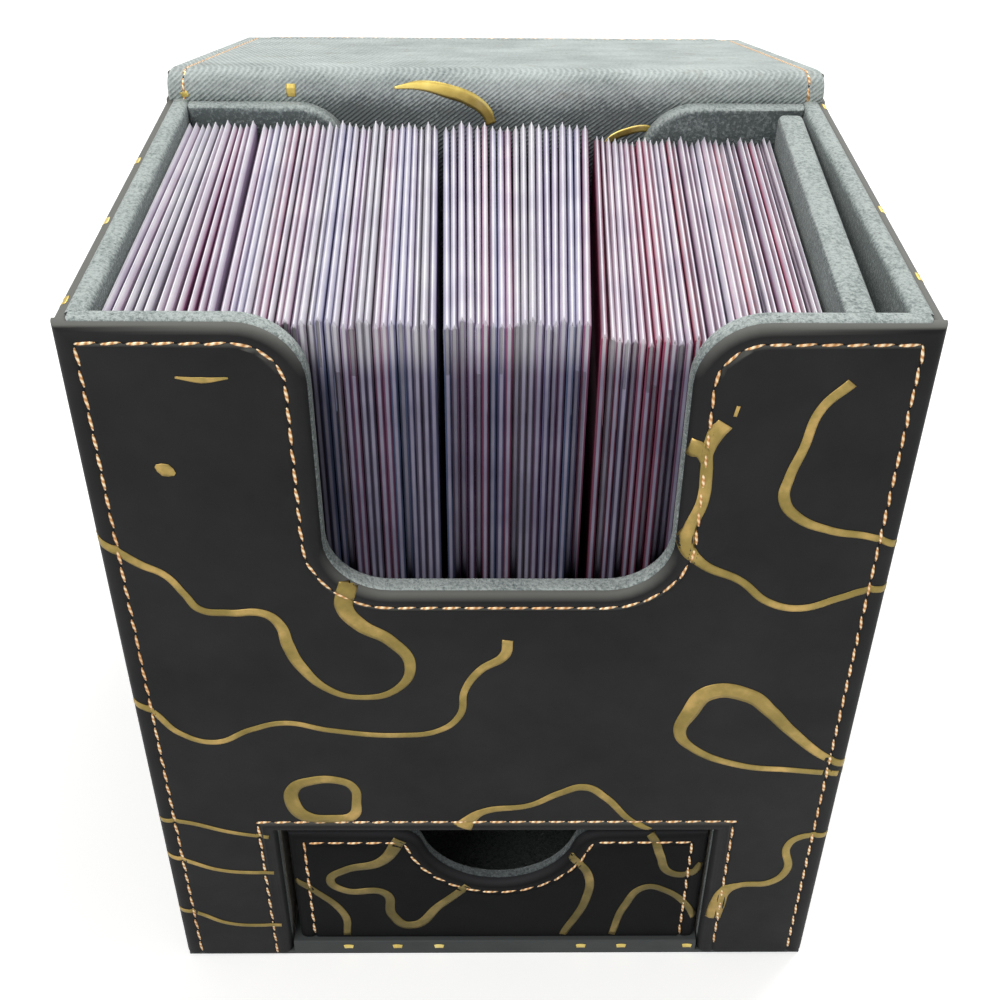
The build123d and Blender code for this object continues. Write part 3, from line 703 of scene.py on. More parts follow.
faded_twill = twill("faded_grey_green_twill", "#949d9b", "#b3bcb9", "#cbd4d0")
lid_skin_profile = [(SKIN_FACE, 1.6)] + rounded(
    (SKIN_FACE, 127.6), (35.4, 131.6), (36.6, 133.3), along_lid(1.6, LID_SKIN_FACE), 11
) + [along_lid(LID_LENGTH - SKIN_MARGIN, LID_SKIN_FACE)]
skin_corners = oblong(-SKIN_HALF_WIDTH, 0, SKIN_HALF_WIDTH, profile_length(lid_skin_profile))
bm = bmesh.new()
face = plate(bm, skin_corners, SKIN_DEPTH, SKIN_ROLL)
lid_skin_seam = sink_seam(bm, face, SKIN_ROLL, SEAM_INSET, SKIN_SEAM_DEPTH)
score(bm, lid_skin_profile, 1, len(lid_skin_profile) - 2)
lay_along(bm, lid_skin_profile)
# The blend gives the case up to just before the hinge's axis and the lid from there, but the skin is only
# fixed in place and rides neither. A wider band would bend the wrong way round when the lid, which turns by
# more than half a turn, shuts.
lid_blend = ("case", "lid", (0, 0.0392, 0.1290), (0, 0.0394, 0.1290))
lid_skin = finish_piece(bm, "cover_skin_sheet", faded_twill, lid_blend)
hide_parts("back_cover_skin", "lid_hinge_skin", "lid_skin")
hidden_foot = profile_length(lid_skin_profile[:2]) - 1.0
sew("cover_skin_thread", lid_skin_seam, None, lid_blend,
    lambda place: place.y > hidden_foot, profile=lid_skin_profile)

# ---------------------------------------------------------------- lid leather
# The lid's board lies between the same leather and twill. The leather is turned round its
# edges and shows as a thin dark line round the skin.
LID_LEATHER_FACE = -1.8
LID_LEATHER_DEPTH = 3.1
lid_leather_plane = plane_of(
    (0, *along_lid(0, LID_LEATHER_FACE)), (-1, 0, 0), (0, math.cos(LID_TILT), -math.sin(LID_TILT))
)
lid_corners = oblong(-CASE_HALF_WIDTH, 0, CASE_HALF_WIDTH, LID_LENGTH)
bm = bmesh.new()
face = plate(bm, lid_corners, LID_LEATHER_DEPTH, COVER_ROLL, COVER_BACK_ROLL)
lid_leather_seam = sink_seam(bm, face, COVER_ROLL, SEAM_INSET)
lid_leather = finish_piece(bm, "lid_leather_panel", black_leather, "lid", lid_leather_plane)
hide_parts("lid_leather")
sew("lid_leather_thread", lid_leather_seam, lid_leather_plane, "lid")

# Between the boards the leather is bare and bends, so it creases; it gets hardly any painted highlight.
STRIP_DEPTH = 0.6
STRIP_INSET = 0.6
STRIP_FACE = -1.9
creased_leather = soft_touch_leather("creased_black_leather", "#131314", "#1e1e1f", "#222223", 1.28)


def hinge_strip(name, profile, half_width, body, node):
    """The unboarded strip of a cover, from one panel over the fold to the next."""
    half = half_width - STRIP_INSET
    bm = bmesh.new()
    plate(bm, oblong(-half, 0, half, profile_length(profile)), STRIP_DEPTH, STRIP_DEPTH * 0.6)
    score(bm, profile, 1, len(profile) - 2)
    lay_along(bm, profile)
    strip = finish_piece(bm, name, creased_leather, body)
    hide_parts(node)


lid_strip_profile = [along_lid(distance, STRIP_FACE) for distance in (6.0, 3.0, 0.15)]
lid_strip_profile += [(39.62, 128.2), (39.62, 123.0)]
hinge_strip(
    "lid_hinge_leather_strip", lid_strip_profile, CASE_HALF_WIDTH,
    ("case", "lid", (0, 0.0395, 0.1284), (0, 0.03958, 0.12856)), "lid_hinge_leather",
)

# ---------------------------------------------------------------- flap
# The front flap hangs from the lid's far edge on a second leather hinge. It is narrower than
# the lid, its lower corners are rounded, and two magnets hold it to the front wall.
FLAP_HINGE = (117.955, 110.656)
FLAP_HALF_WIDTH = 50.0
FLAP_FOLD = 2.3
FLAP_LENGTH = 56.0
FLAP_RADIUS = 12.0
FLAP_HALF_DEPTH = 1.6
FLAP_LEATHER_DEPTH = 2 * FLAP_HALF_DEPTH - 0.7
FLAP_SKIN_START = 1.95
FLAP_STRIP_GAP = 0.1


def flap_corners(inset, near, far):
    """The flap's outline. Local Y runs down from its hinge line."""
    half = FLAP_HALF_WIDTH - inset
    radius = FLAP_RADIUS - inset
    return [(-half, near, 0), (half, near, 0), (half, far - inset, radius), (-half, far - inset, radius)]


flap_far = FLAP_FOLD + FLAP_LENGTH
flap_leather_plane = plane_of((0, FLAP_HINGE[0] - FLAP_HALF_DEPTH, FLAP_HINGE[1]), (-1, 0, 0), (0, 0, -1))
bm = bmesh.new()
face = plate(bm, flap_corners(0, FLAP_FOLD, flap_far), FLAP_LEATHER_DEPTH, COVER_ROLL, COVER_BACK_ROLL)
flap_leather_seam = sink_seam(bm, face, COVER_ROLL, SEAM_INSET)
flap_leather = finish_piece(
    bm, "flap_leather_panel", black_leather, "flap", flap_leather_plane
)
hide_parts("flap_leather")
sew("flap_leather_thread", flap_leather_seam, flap_leather_plane, "flap")

flap_skin_face = FLAP_HINGE[0] + FLAP_HALF_DEPTH + GLUE_GAP
flap_skin_profile = [along_lid(LID_LENGTH - 5.0, FLAP_SKIN_START)] + rounded(
    along_lid(LID_LENGTH - 1.0, FLAP_SKIN_START), along_lid(LID_LENGTH + 2.2, FLAP_SKIN_START),
    (flap_skin_face, 111.6), (flap_skin_face, FLAP_HINGE[1] - FLAP_FOLD), 9
) + [(flap_skin_face, FLAP_HINGE[1] - flap_far + SKIN_MARGIN)]
flap_skin_corners = flap_corners(SKIN_MARGIN, 0, profile_length(flap_skin_profile) + SKIN_MARGIN)
bm = bmesh.new()
face = plate(bm, flap_skin_corners, SKIN_DEPTH, SKIN_ROLL)
flap_skin_seam = sink_seam(bm, face, SKIN_ROLL, SEAM_INSET, SKIN_SEAM_DEPTH)
score(bm, flap_skin_profile, 1, len(flap_skin_profile) - 2)
lay_along(bm, flap_skin_profile)
flap_blend = ("lid", "flap", (0, 0.1160, 0.1122), (0, 0.1194, 0.1090))
flap_skin = finish_piece(bm, "flap_skin_sheet", faded_twill, flap_blend)
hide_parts("flap_skin", "flap_hinge_skin")
sew("flap_skin_thread", flap_skin_seam, None, flap_blend, profile=flap_skin_profile)

flap_leather_face = FLAP_HINGE[0] - FLAP_HALF_DEPTH - FLAP_STRIP_GAP
flap_strip_profile = [(flap_leather_face, FLAP_HINGE[1] - FLAP_FOLD - 5.0)] + rounded(
    (flap_leather_face, FLAP_HINGE[1] - FLAP_FOLD), (flap_leather_face, FLAP_HINGE[1] - 1.2),
    along_lid(LID_LENGTH + 0.6, STRIP_FACE), along_lid(LID_LENGTH - 0.6, STRIP_FACE), 7
) + [along_lid(LID_LENGTH - 5.0, STRIP_FACE)]
hinge_strip(
    "flap_hinge_leather_strip", flap_strip_profile, FLAP_HALF_WIDTH,
    ("lid", "flap", (0, 0.1152, 0.1096), (0, 0.1166, 0.1080)), "flap_hinge_leather",
)

# ---------------------------------------------------------------- drawer
# The drawer is a small board tray in a leather wrap. Its front is faced with the same leather
# as the case, and a finger notch is cut into its top edge and lined.
DRAWER_FRONT = -38.2
DRAWER_OFFSET = 0.4
DRAWER_HALF_WIDTH = 35.05
DRAWER_BOTTOM = 3.7
DRAWER_TOP = 31.8
DRAWER_LEATHER_DEPTH = 1.3
DRAWER_PANEL_BACK = -34.9
NOTCH_RADIUS = 13.2
NOTCH_FLARE = 5.0
DRAWER_SEAM_INSET = 2.6
DRAWER_FIRST_STITCH = 0.4
DRAWER_LINING_ROLL = 0.8
DRAWER_LINING_BACK_ROLL = 0.5


def swing(bm, start, centre, degrees, steps):
    """Draws an arc by swinging a point about a centre, in millimetres."""
    point = bm.verts.new((start[0] * MM, start[1] * MM, 0))
    bmesh.ops.spin(
        bm, geom=[point], cent=(centre[0] * MM, centre[1] * MM, 0), axis=(0, 0, 1),
        angle=math.radians(degrees), steps=steps, use_duplicate=False,
    )


def notched_outline(bm, middle):
    """The drawer front's outline as one face, about a middle, with its finger notch."""
    reach = NOTCH_RADIUS + NOTCH_FLARE
    flare_across = math.sqrt(reach ** 2 - NOTCH_FLARE ** 2)
    lean = math.asin(NOTCH_FLARE / reach)
    touch = (NOTCH_RADIUS * math.cos(lean), DRAWER_TOP - NOTCH_RADIUS * math.sin(lean))
    sweep = 180 - 2 * math.degrees(lean)
    flare_sweep = 90 - math.degrees(lean)
    swing(bm, (middle - touch[0], touch[1]), (middle, DRAWER_TOP), sweep, 26)
    for side in (-1, 1):
        swing(
            bm, (middle + side * flare_across, DRAWER_TOP),
            (middle + side * flare_across, DRAWER_TOP - NOTCH_FLARE), side * flare_sweep, 8,
        )
        edge = bm.verts.new(((middle + side * flare_across) * MM, DRAWER_TOP * MM, 0))
        for y in (DRAWER_TOP, DRAWER_BOTTOM - OVERCUT):
            corner = bm.verts.new(((middle + side * DRAWER_HALF_WIDTH) * MM, y * MM, 0))
            bm.edges.new((edge, corner))
            edge = corner
    bm.edges.new([vert for vert in bm.verts if vert.co.y < DRAWER_BOTTOM * MM])
    bmesh.ops.remove_doubles(bm, verts=bm.verts[:], dist=1e-6)
    bmesh.ops.contextual_create(bm, geom=bm.edges[:])


drawer_leather_finish = soft_touch_leather("shaded_black_leather", "#060607", "#0c0c0d", "#303032", 1.18)
drawer_plane = plane_of((0, DRAWER_FRONT, 0), (1, 0, 0), (0, 0, 1))
bm = bmesh.new()
notched_outline(bm, DRAWER_OFFSET)
face = thicken(bm, DRAWER_LEATHER_DEPTH, COVER_ROLL)
drawer_seam = sink_seam(bm, face, COVER_ROLL, DRAWER_SEAM_INSET)
cut_off(bm, (0, DRAWER_BOTTOM, 0), (0, -1, 0))
drawer_leather = finish_piece(
    bm, "drawer_front_panel", drawer_leather_finish, "drawer", drawer_plane
)
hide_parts("drawer_front_leather")
sew("drawer_seam_thread", drawer_seam, drawer_plane, "drawer",
    lambda place: place.y > DRAWER_BOTTOM + DRAWER_FIRST_STITCH)

drawer_lining_plane = plane_of((0, DRAWER_PANEL_BACK, 0), (-1, 0, 0), (0, 0, 1))
bm = bmesh.new()
notched_outline(bm, -DRAWER_OFFSET)
lining_depth = DRAWER_PANEL_BACK - DRAWER_FRONT - DRAWER_LEATHER_DEPTH
thicken(bm, lining_depth, DRAWER_LINING_ROLL, DRAWER_LINING_BACK_ROLL)
cut_off(bm, (0, DRAWER_BOTTOM, 0), (0, -1, 0))
# The drawer front's lining round the notch is a darker copy of the microfibre: painted shade.
shaded_notch_microfibre = microfibre("shaded_notch_grey_microfibre", "#33383a", "#474d4f", "#6c7374")
drawer_panel_lining = finish_piece(
    bm, "drawer_front_lining_panel", shaded_notch_microfibre, "drawer", drawer_lining_plane
)
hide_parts("drawer_front_lining")
dress("drawer_wrap", drawer_leather_finish)

# ---------------------------------------------------------------- divider
# A loose board in the same microfibre, standing at the right of the cards. Its front end is
# off the wall, so it leans away from the cards' line.
DIVIDER_CENTRE = (46.9, -1.4)
DIVIDER_TURN = math.radians(2.8)
DIVIDER_THICKNESS = 4.4
DIVIDER_LENGTH = 66.6
DIVIDER_TOP = 127.8
DIVIDER_ROLL = 1.1
lengthwise = Vector((math.sin(DIVIDER_TURN), math.cos(DIVIDER_TURN), 0))
outwards = lengthwise.cross(Vector((0, 0, 1)))
divider_plane = plane_of(
    Vector((*DIVIDER_CENTRE, 0)) + outwards * DIVIDER_THICKNESS / 2, lengthwise, (0, 0, 1)
)
half = DIVIDER_LENGTH / 2
bm = bmesh.new()
plate(bm, oblong(-half, SHELF_TOP, half, DIVIDER_TOP), DIVIDER_THICKNESS, DIVIDER_ROLL, DIVIDER_ROLL)
divider = finish_piece(
    bm, "divider_lining_cover", grey_microfibre, "divider", divider_plane
)
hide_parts("divider_lining")

# ---------------------------------------------------------------- sleeved cards
# Each card stands in a polypropylene sleeve, welded thin along its front, back and foot and
# pressed flat over the card at its top, so that every edge of it is a thin bright line. The welds and top
# rims are also painted pale: painted highlights.
SLEEVE_HALF = 0.7
END_HALF = 0.5
WELD_HALF = 0.15
WELD_REACH = 0.19
EDGE_REACH = 0.07
BULGE_REACH = 0.32
PRESSED_TOP = 14.0
TOP_REACH = 0.8
RIM_DEPTH = 0.15
RIM_HALF = 0.08
SWAY = 0.07
VEIL_FOOT = 117.5
VEIL_TOP = 124.5
# The painted shade darkens the sleeves from LIGHT_TOP down to LIGHT_FOOT.
LIGHT_FOOT = 70.0
LIGHT_TOP = 122.0
FRONT_SPREAD = (-0.5, 0.3)
HEIGHT_SPREAD = (0.0, 1.1)


def sleeved_card(name):
    """Tinted polypropylene over cards, from lilac tops to deep colour. It is painted darker towards
    its foot, as painted shade, and its welds and top rims are painted pale, as painted highlights.
    """
    material, add, place = start_material(name)
    veil, deep = (add("Attribute", out="Color", attribute_name=tint) for tint in ("veil", "deep"))
    weld = add("Attribute", out="Fac", attribute_name="weld")
    rise = add("SeparateXYZ", {"Vector": place}, "Z")
    near_top = add("MapRange", {
        "Value": rise, "From Min": VEIL_FOOT * MM, "From Max": VEIL_TOP * MM,
    }, interpolation_type="SMOOTHSTEP")
    # Painted shade: the sides and the welds are scaled darker towards the foot.
    fade = add("MapRange", {
        "Value": rise, "From Min": LIGHT_FOOT * MM, "From Max": LIGHT_TOP * MM, "To Min": 0.12, "To Max": 1.2,
    })
    clouds = add("TexNoise", {"Vector": place, "Scale": 1 / (8 * MM), "Detail": 3})
    shade = add("MapRange", {"Value": clouds, "To Min": 0.82, "To Max": 1.18})
    sides = add("Mix", {"Factor": near_top, 6: deep, 7: veil}, 2, data_type="RGBA")
    lit = add("Mix", {"Factor": near_top, 2: fade, 3: 1.0})
    shade = add("Math", {0: shade, 1: lit}, operation="MULTIPLY")
    sides = add("VectorMath", {0: sides, "Scale": shade}, operation="SCALE")
    # The welds and top rims are painted pale: painted highlights, dimmed lower down by the painted shade.
    dim_weld = add("ValToRGB", {"Fac": clouds}, stops=[(0.35, "#85819a"), (0.65, "#a29db4")])
    dim_weld = add("VectorMath", {0: dim_weld, "Scale": fade}, operation="SCALE")
    rim = add("ValToRGB", {"Fac": clouds}, stops=[(0.35, "#e6e2ec"), (0.65, "#f6f4f8")])
    edge = add("Mix", {"Factor": near_top, 6: dim_weld, 7: rim}, 2, data_type="RGBA")
    colour = add("Mix", {"Factor": weld, 6: sides, 7: edge}, 2, data_type="RGBA")
    shader = add("BsdfPrincipled", {"Base Color": colour, "Roughness": 0.42, "IOR": 1.4})
    add("OutputMaterial", {"Surface": shader})
    return material


satin_sleeve = sleeved_card("tinted_polypropylene_sleeve")
sleeve_random = random.Random(7)
# The tints of each run: near the tops, and deep down between the cards.
run_tints = {
    "left_cards": [
        ("#9d8ca6", "#5b4560"), ("#ac98ab", "#634058"), ("#8f5c7e", "#6b3555"), ("#96909c", "#4c4863"),
    ],
    "left_middle_cards": [
        ("#a693b0", "#5a4560"), ("#9a90ae", "#494a66"), ("#b098ab", "#623c56"), ("#a0708a", "#6b3852"),
        ("#9c9ab8", "#485270"), ("#a7a1ac", "#524552"), ("#96929c", "#463f52"),
    ],
    "right_middle_cards": [
        ("#988eae", "#4c4667"), ("#a69ab4", "#5a435e"), ("#9f6888", "#683650"), ("#9da2be", "#44506e"),
        ("#a8a4ae", "#504856"),
    ],
    "right_cards": [
        ("#b98ea4", "#6b394f"), ("#a84c6b", "#70364c"), ("#9f7f97", "#593a50"), ("#cfb0c0", "#63394e"),
        ("#afa5b4", "#463e56"), ("#9c3350", "#773448"), ("#d3c6d0", "#5f4e5c"),
    ],
}


def sleeve(bm, foot_front, foot_back, height, wide):
    """One sleeve: thin at its welds, bulging between them, pressed flat at its top."""
    run = (foot_back - foot_front).normalized()
    side = Vector((-run.y, run.x, 0))
    length = (foot_back - foot_front).length
    half = [(0.0, WELD_HALF), (EDGE_REACH * MM, 0.6 * wide), (BULGE_REACH * MM, wide)]
    half += [(length - reach, w) for reach, w in reversed(half)]
    ring = [bm.verts.new(foot_front + run * s + side * w * MM) for s, w in half]
    ring += [bm.verts.new(foot_front + run * s - side * w * MM) for s, w in reversed(half)]
    face = bm.faces.new(ring)
    middle = (foot_front + foot_back) / 2
    levels = [ring]
    for rise, thin in ((height - PRESSED_TOP * MM, 1.0), ((PRESSED_TOP - TOP_REACH) * MM, 1.0),
                       ((TOP_REACH - RIM_DEPTH) * MM, RIM_HALF / wide), (RIM_DEPTH * MM, 1.0)):
        grown = bmesh.ops.extrude_face_region(bm, geom=[face])
        face = [item for item in grown["geom"] if isinstance(item, bmesh.types.BMFace)][0]
        bmesh.ops.translate(bm, vec=(0, 0, rise), verts=face.verts[:])
        for vert in face.verts:
            vert.co -= side * (vert.co - middle).dot(side) * (1 - thin)
        levels.append(face.verts[:])
    return levels


for node, tints in run_tints.items():
    source = bmesh.new()
    source.from_mesh(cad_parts[node].data)
    bmesh.ops.remove_doubles(source, verts=source.verts[:], dist=1e-6)
    bm = bmesh.new()
    veil_layer = bm.verts.layers.float_color.new("veil")
    deep_layer = bm.verts.layers.float_color.new("deep")
    weld_layer = bm.verts.layers.float.new("weld")
    waiting = set(source.verts)
    cards = []
    while waiting:
        island, growing = set(), [next(iter(waiting))]
        while growing:
            vert = growing.pop()
            if vert in island:
                continue
            island.add(vert)
            growing += [edge.other_vert(vert) for edge in vert.link_edges]
        waiting -= island
        cards.append([vert.co.copy() for vert in island])
    cards.sort(key=lambda card: sum(co.x for co in card))
    base = min(co.z for co in cards[0])
    height = max(co.z for co in cards[0]) - base
    places = []
    for card in cards:
        feet = sorted((co for co in card if co.z < base + MM), key=lambda co: co.y)
        sway = [sleeve_random.uniform(-SWAY, SWAY) * MM for end in range(2)]
        places.append((
            (feet[0] + feet[1]) / 2 + Vector((sway[0], sleeve_random.uniform(*FRONT_SPREAD) * MM, 0)),
            (feet[2] + feet[3]) / 2 + Vector((sway[1], 0, 0)),
        ))
    for index, (front, back) in enumerate(places):
        near = [places[i] for i in (index - 1, index + 1) if 0 <= i < len(places)]
        room = min(abs(end.x - other.x) for pair in near for end, other in zip((front, back), pair)) / MM
        wide = min(room / 2 - 0.01, END_HALF if len(near) == 1 else SLEEVE_HALF)
        veil, deep = [Vector(linear(tint)) for tint in sleeve_random.choice(tints)]
        levels = sleeve(bm, front, back, height - sleeve_random.uniform(*HEIGHT_SPREAD) * MM, wide)
        for level in levels:
            for vert in level:
                vert[veil_layer] = veil
                vert[deep_layer] = deep
                at_front = (vert.co - front).xy.length < WELD_REACH * MM
                vert[weld_layer] = 1.0 if at_front or level in levels[3:] else 0.0
    source.free()
    bmesh.ops.recalc_face_normals(bm, faces=bm.faces[:])
    run = finish_piece(bm, node + "_sleeves", satin_sleeve, node, smooth_below=25.0)
    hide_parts(node)

# ---------------------------------------------------------------- foil
# Contour lines are hot-stamped on the leather in thin gold foil, and run on round the
# corners. The foil is dull olive gold, brighter in patches, and catches the light over the seams. A paler
# copy of it lies on the skin, the side walls' top edges and the base's lip.
FOIL_THICKNESS = 0.05
FOIL_GAP = 0.015
PRESS_START = 10.0
PRESS_STROKE = 14.0


def stamped_foil(name, dull, middle, bright):
    """Hot-stamped foil: dull metallic gold that picks up the leather's grain."""
    material, add, place = start_material(name)
    brightening = add("TexNoise", {"Vector": place, "Scale": 1 / (6 * MM), "Detail": 4, "Roughness": 0.6})
    rough = add("TexNoise", {"Vector": place, "Scale": 1 / (1.5 * MM), "Detail": 4})
    grain = add("TexNoise", {"Vector": place, "Scale": 1 / (0.32 * MM), "Detail": 3, "Roughness": 0.6})
    add("OutputMaterial", {"Surface": add("BsdfPrincipled", {
        "Base Color": add("ValToRGB", {"Fac": brightening}, stops=[(0.3, dull), (0.5, middle), (0.7, bright)]),
        "Roughness": add("MapRange", {"Value": rough, "To Min": 0.34, "To Max": 0.52}), "Metallic": 0.9,
        "Normal": add("Bump", {"Height": grain, "Distance": 0.02 * MM, "Strength": 0.6}),
    })})
    return material


gold_foil = stamped_foil("hot_stamped_gold_foil", "#7a6b39", "#927f48", "#be9f62")
shaded_foil = stamped_foil("shaded_gold_foil", "#584e2b", "#6c6038", "#94804f")
# A paler copy of the foil, for the skin's band, the side walls' top edges and the base's lip.
pale_foil = stamped_foil("pale_gold_foil", "#bfa452", "#dcc46d", "#eedf9c")
foil_width_data = bpy.data.curves.new("foil_width", "CURVE")
foil_width_line = foil_width_data.splines.new("POLY")
foil_width_line.points.add(4)
for point, across in zip(foil_width_line.points, (-1.0, -0.5, 0.0, 0.5, 1.0)):
    point.co = (across, 0, 0, 1)
foil_width = bpy.data.objects.new("foil_width", foil_width_data)


def foil_strip(points):
    """A flat strip of foil along a smooth line of (x, y, width), in millimetres."""
    line = bpy.data.curves.new("foil_line", "CURVE")
    line.dimensions = "3D"
    line.twist_mode = "Z_UP"
    line.bevel_mode = "OBJECT"
    line.bevel_object = foil_width
    line.resolution_u = 10
    spline = line.splines.new("BEZIER")
    closed = points[0][:2] == points[-1][:2]
    knots = points[:-1] if closed else points
    spline.use_cyclic_u = closed
    spline.bezier_points.add(len(knots) - 1)
    for knot, (x, y, width) in zip(spline.bezier_points, knots):
        knot.co = (x * MM, y * MM, 0)
        knot.radius = width / 2 * MM
        knot.handle_left_type = knot.handle_right_type = "AUTO"
    holder = bpy.data.objects.new("foil_line", line)
    bpy.context.scene.collection.objects.link(holder)
    bpy.context.view_layer.update()
    strip = bpy.data.meshes.new_from_object(holder.evaluated_get(bpy.context.evaluated_depsgraph_get()))
    bpy.data.objects.remove(holder)
    bpy.data.curves.remove(line)
    return strip


def lay_foil(name, strips, plane, carriers, body, foil=gold_foil):
    """Presses strips of foil, drawn in a panel's plane, onto the pieces that carry them."""
    carrier = bmesh.new()
    for piece in carriers:
        carrier.from_mesh(piece.data)
    surface = BVHTree.FromBMesh(carrier)
    carrier.free()
    bm = bmesh.new()
    for points in strips:
        strip = foil_strip(points)
        bm.from_mesh(strip)
        bpy.data.meshes.remove(strip)
    bm.normal_update()
    bmesh.ops.reverse_faces(bm, faces=[face for face in bm.faces if face.normal.z < 0])
    bmesh.ops.remove_doubles(bm, verts=bm.verts[:], dist=1e-6)
    out = (plane.to_3x3() @ Vector((0, 0, 1))).normalized()
    for vert in bm.verts:
        place = plane @ vert.co
        hit, normal = surface.ray_cast(place + out * (PRESS_START * MM), -out, PRESS_STROKE * MM)[:2]
        if hit is None:
            hit, normal = surface.find_nearest(place)[:2]
        vert.co = hit + normal * FOIL_GAP * MM
    piece = finish_piece(bm, name, foil, body, smooth_below=60.0)
    film = piece.modifiers.new("foil_thickness", "SOLIDIFY")
    film.thickness = FOIL_THICKNESS * MM
    film.offset = 1.0


front_strips = [
    [(-40.6, 121.1, 0.3), (-37.3, 120.7, 0.9), (-34, 121, 0.3)],
    [(-45, 107.6, 0.5), (-44.5, 107.3, 1.5), (-43.8, 106.9, 2.1), (-43.1, 106.5, 1.5), (-42.6, 106.2, 0.5)],
    [(-54.9, 95, 1.2), (-52.2, 93, 1.3), (-49.6, 90.9, 1.3), (-46.4, 88.9, 1.1), (-44.1, 85.3, 1.1),
     (-42.4, 82.6, 1.2), (-38.2, 81.9, 1.2), (-33.2, 81.7, 1.4), (-31.3, 79.6, 1.6), (-30.5, 75.7, 1.9),
     (-29.1, 71.7, 1.8), (-25, 66.5, 1.2), (-20.6, 65, 1), (-15.3, 66.5, 1.2), (-12.9, 71.7, 1.7),
     (-15.7, 76.6, 2), (-19.8, 79.6, 2.4), (-21.9, 83, 2.6), (-21.6, 85.3, 2.8), (-21, 87.2, 2.8)],
    [(-54.9, 63.8, 1.2), (-52.4, 62.3, 1.1), (-48.6, 57.3, 1), (-43.5, 55.3, 1), (-37.8, 58, 1),
     (-32.4, 59.5, 1), (-25.6, 57.9, 1), (-14.9, 56.8, 1), (-8.8, 57.9, 1), (-5.7, 61.2, 1.1),
     (-4.9, 66.5, 1.1), (-2.6, 70.6, 1.3), (1, 73.7, 1.6), (1.4, 76.6, 1.6)],
    [(44.2, 120.5, 1.5), (40.9, 116.6, 1.3), (39.5, 110.4, 1.3), (38.3, 105.8, 1.4), (38.1, 102.2, 1.6),
     (40, 99.4, 1.5), (45.1, 96.9, 1.25), (50.8, 95.8, 1.1), (54.9, 94.2, 1.1)],
    [(30.3, 117, 0.5), (30, 115.4, 0.45)],
    [(28.9, 114.3, 2.3), (27.9, 112.8, 2.3), (27.1, 109.6, 1.5), (27.2, 107, 1.7), (27.2, 102.1, 1.7),
     (26, 97.3, 1.9), (25.6, 94.6, 2.5), (28.1, 91.1, 1.5), (33.9, 87.9, 1.2), (38.4, 83.9, 1.2),
     (43, 82.8, 1.2), (48.5, 84.8, 1.2), (52, 86.2, 1.2), (54.9, 86.3, 1.2)],
    [(24.6, 110.5, 2.9), (25.6, 110.3, 2.7), (26.4, 109.7, 2), (26.9, 108.2, 1.2)],
    [(54.9, 47.8, 1.2), (46.3, 48.8, 1.1), (38.2, 49.9, 1.2), (30.2, 54, 1.4), (28.1, 57.2, 1.9),
     (29.2, 61.6, 2.7), (31.8, 65.9, 3.1), (37.9, 65.2, 2.7), (41.4, 62, 2.3), (45, 57.8, 1.9),
     (52.3, 51.1, 1.4), (54.9, 49.9, 1.4)],
    [(-32.7, 41, 2.5), (-32.2, 44.8, 2.1), (-29.6, 46.3, 1.8), (-25.2, 46.5, 1.6), (-22.9, 45, 1.5),
     (-22.5, 41.2, 1.5), (-23.3, 38, 1.9), (-26.5, 37.1, 2.2), (-30.8, 37.8, 2.5), (-32.7, 41, 2.5)],
    [(-5.6, 34.9, 3.2), (-4.4, 36.9, 2.2), (-2.2, 38.9, 1.4), (5.4, 40.5, 1.1), (10.1, 43.4, 1.3),
     (14.1, 44.8, 1.5), (17.4, 42.4, 1.3), (21.8, 36.8, 1.1), (25.2, 34.3, 1.1)],
    [(-54.9, 37, 0.9), (-50.6, 36.5, 0.9), (-43.6, 34, 0.8), (-37.4, 32.6, 0.8)],
    [(-54.9, 28.1, 0.9), (-51.9, 26.8, 0.9), (-46.4, 24.2, 0.8), (-37.4, 23.3, 0.8)],
    [(-54.9, 13.3, 0.9), (-52.1, 12.7, 0.9), (-46.4, 9.5, 0.8), (-37.4, 8.9, 0.8)],
    [(54.9, 32.9, 1.1), (50.2, 32.4, 1.3), (48.5, 30.4, 1.3), (49.1, 23.8, 1.4), (46.8, 20.6, 1.4),
     (41.7, 19.8, 1.3), (39.4, 18.4, 2.2), (38.4, 14.4, 2.8), (38, 10.6, 2.6)],
]
lay_foil("front_foil", front_strips, front_plane, [front_leather], "case")

drawer_strips = [
    [(-16, 30.2, 2.4), (-19.6, 24.5, 2), (-25.6, 22.4, 1.6), (-28.3, 19.7, 1.5), (-26, 16.9, 1.5),
     (-19.1, 16.1, 1.6), (-18, 9.9, 1.7), (-15.1, 7, 2), (-9.7, 12.7, 1.6), (-4.8, 18, 1.5)],
    [(-34.3, 19.7, 1.2), (-31.9, 17.5, 1.3), (-26.4, 9.9, 1.4), (-26.3, 4.2, 1.3)],
    [(12.5, 26.2, 1.4), (15.8, 20.9, 1.5), (15.6, 14, 1.5), (12.4, 5.4, 1.4), (12, 4.2, 1.3)],
    [(25.7, 31.4, 1.4), (26.5, 30, 1.5), (27.7, 26.2, 1.5), (29.7, 21.6, 1.5), (33.2, 21.4, 1.4),
     (34.9, 24, 1.3)],
    [(20.7, 4.2, 1.2), (22.6, 12.6, 1.4), (25.8, 17.6, 1.4), (29.3, 16.7, 1.3), (33.4, 12.5, 1.2),
     (35, 9, 1.2)],
]
lay_foil("drawer_foil", drawer_strips, drawer_plane, [drawer_leather], "drawer", shaded_foil)

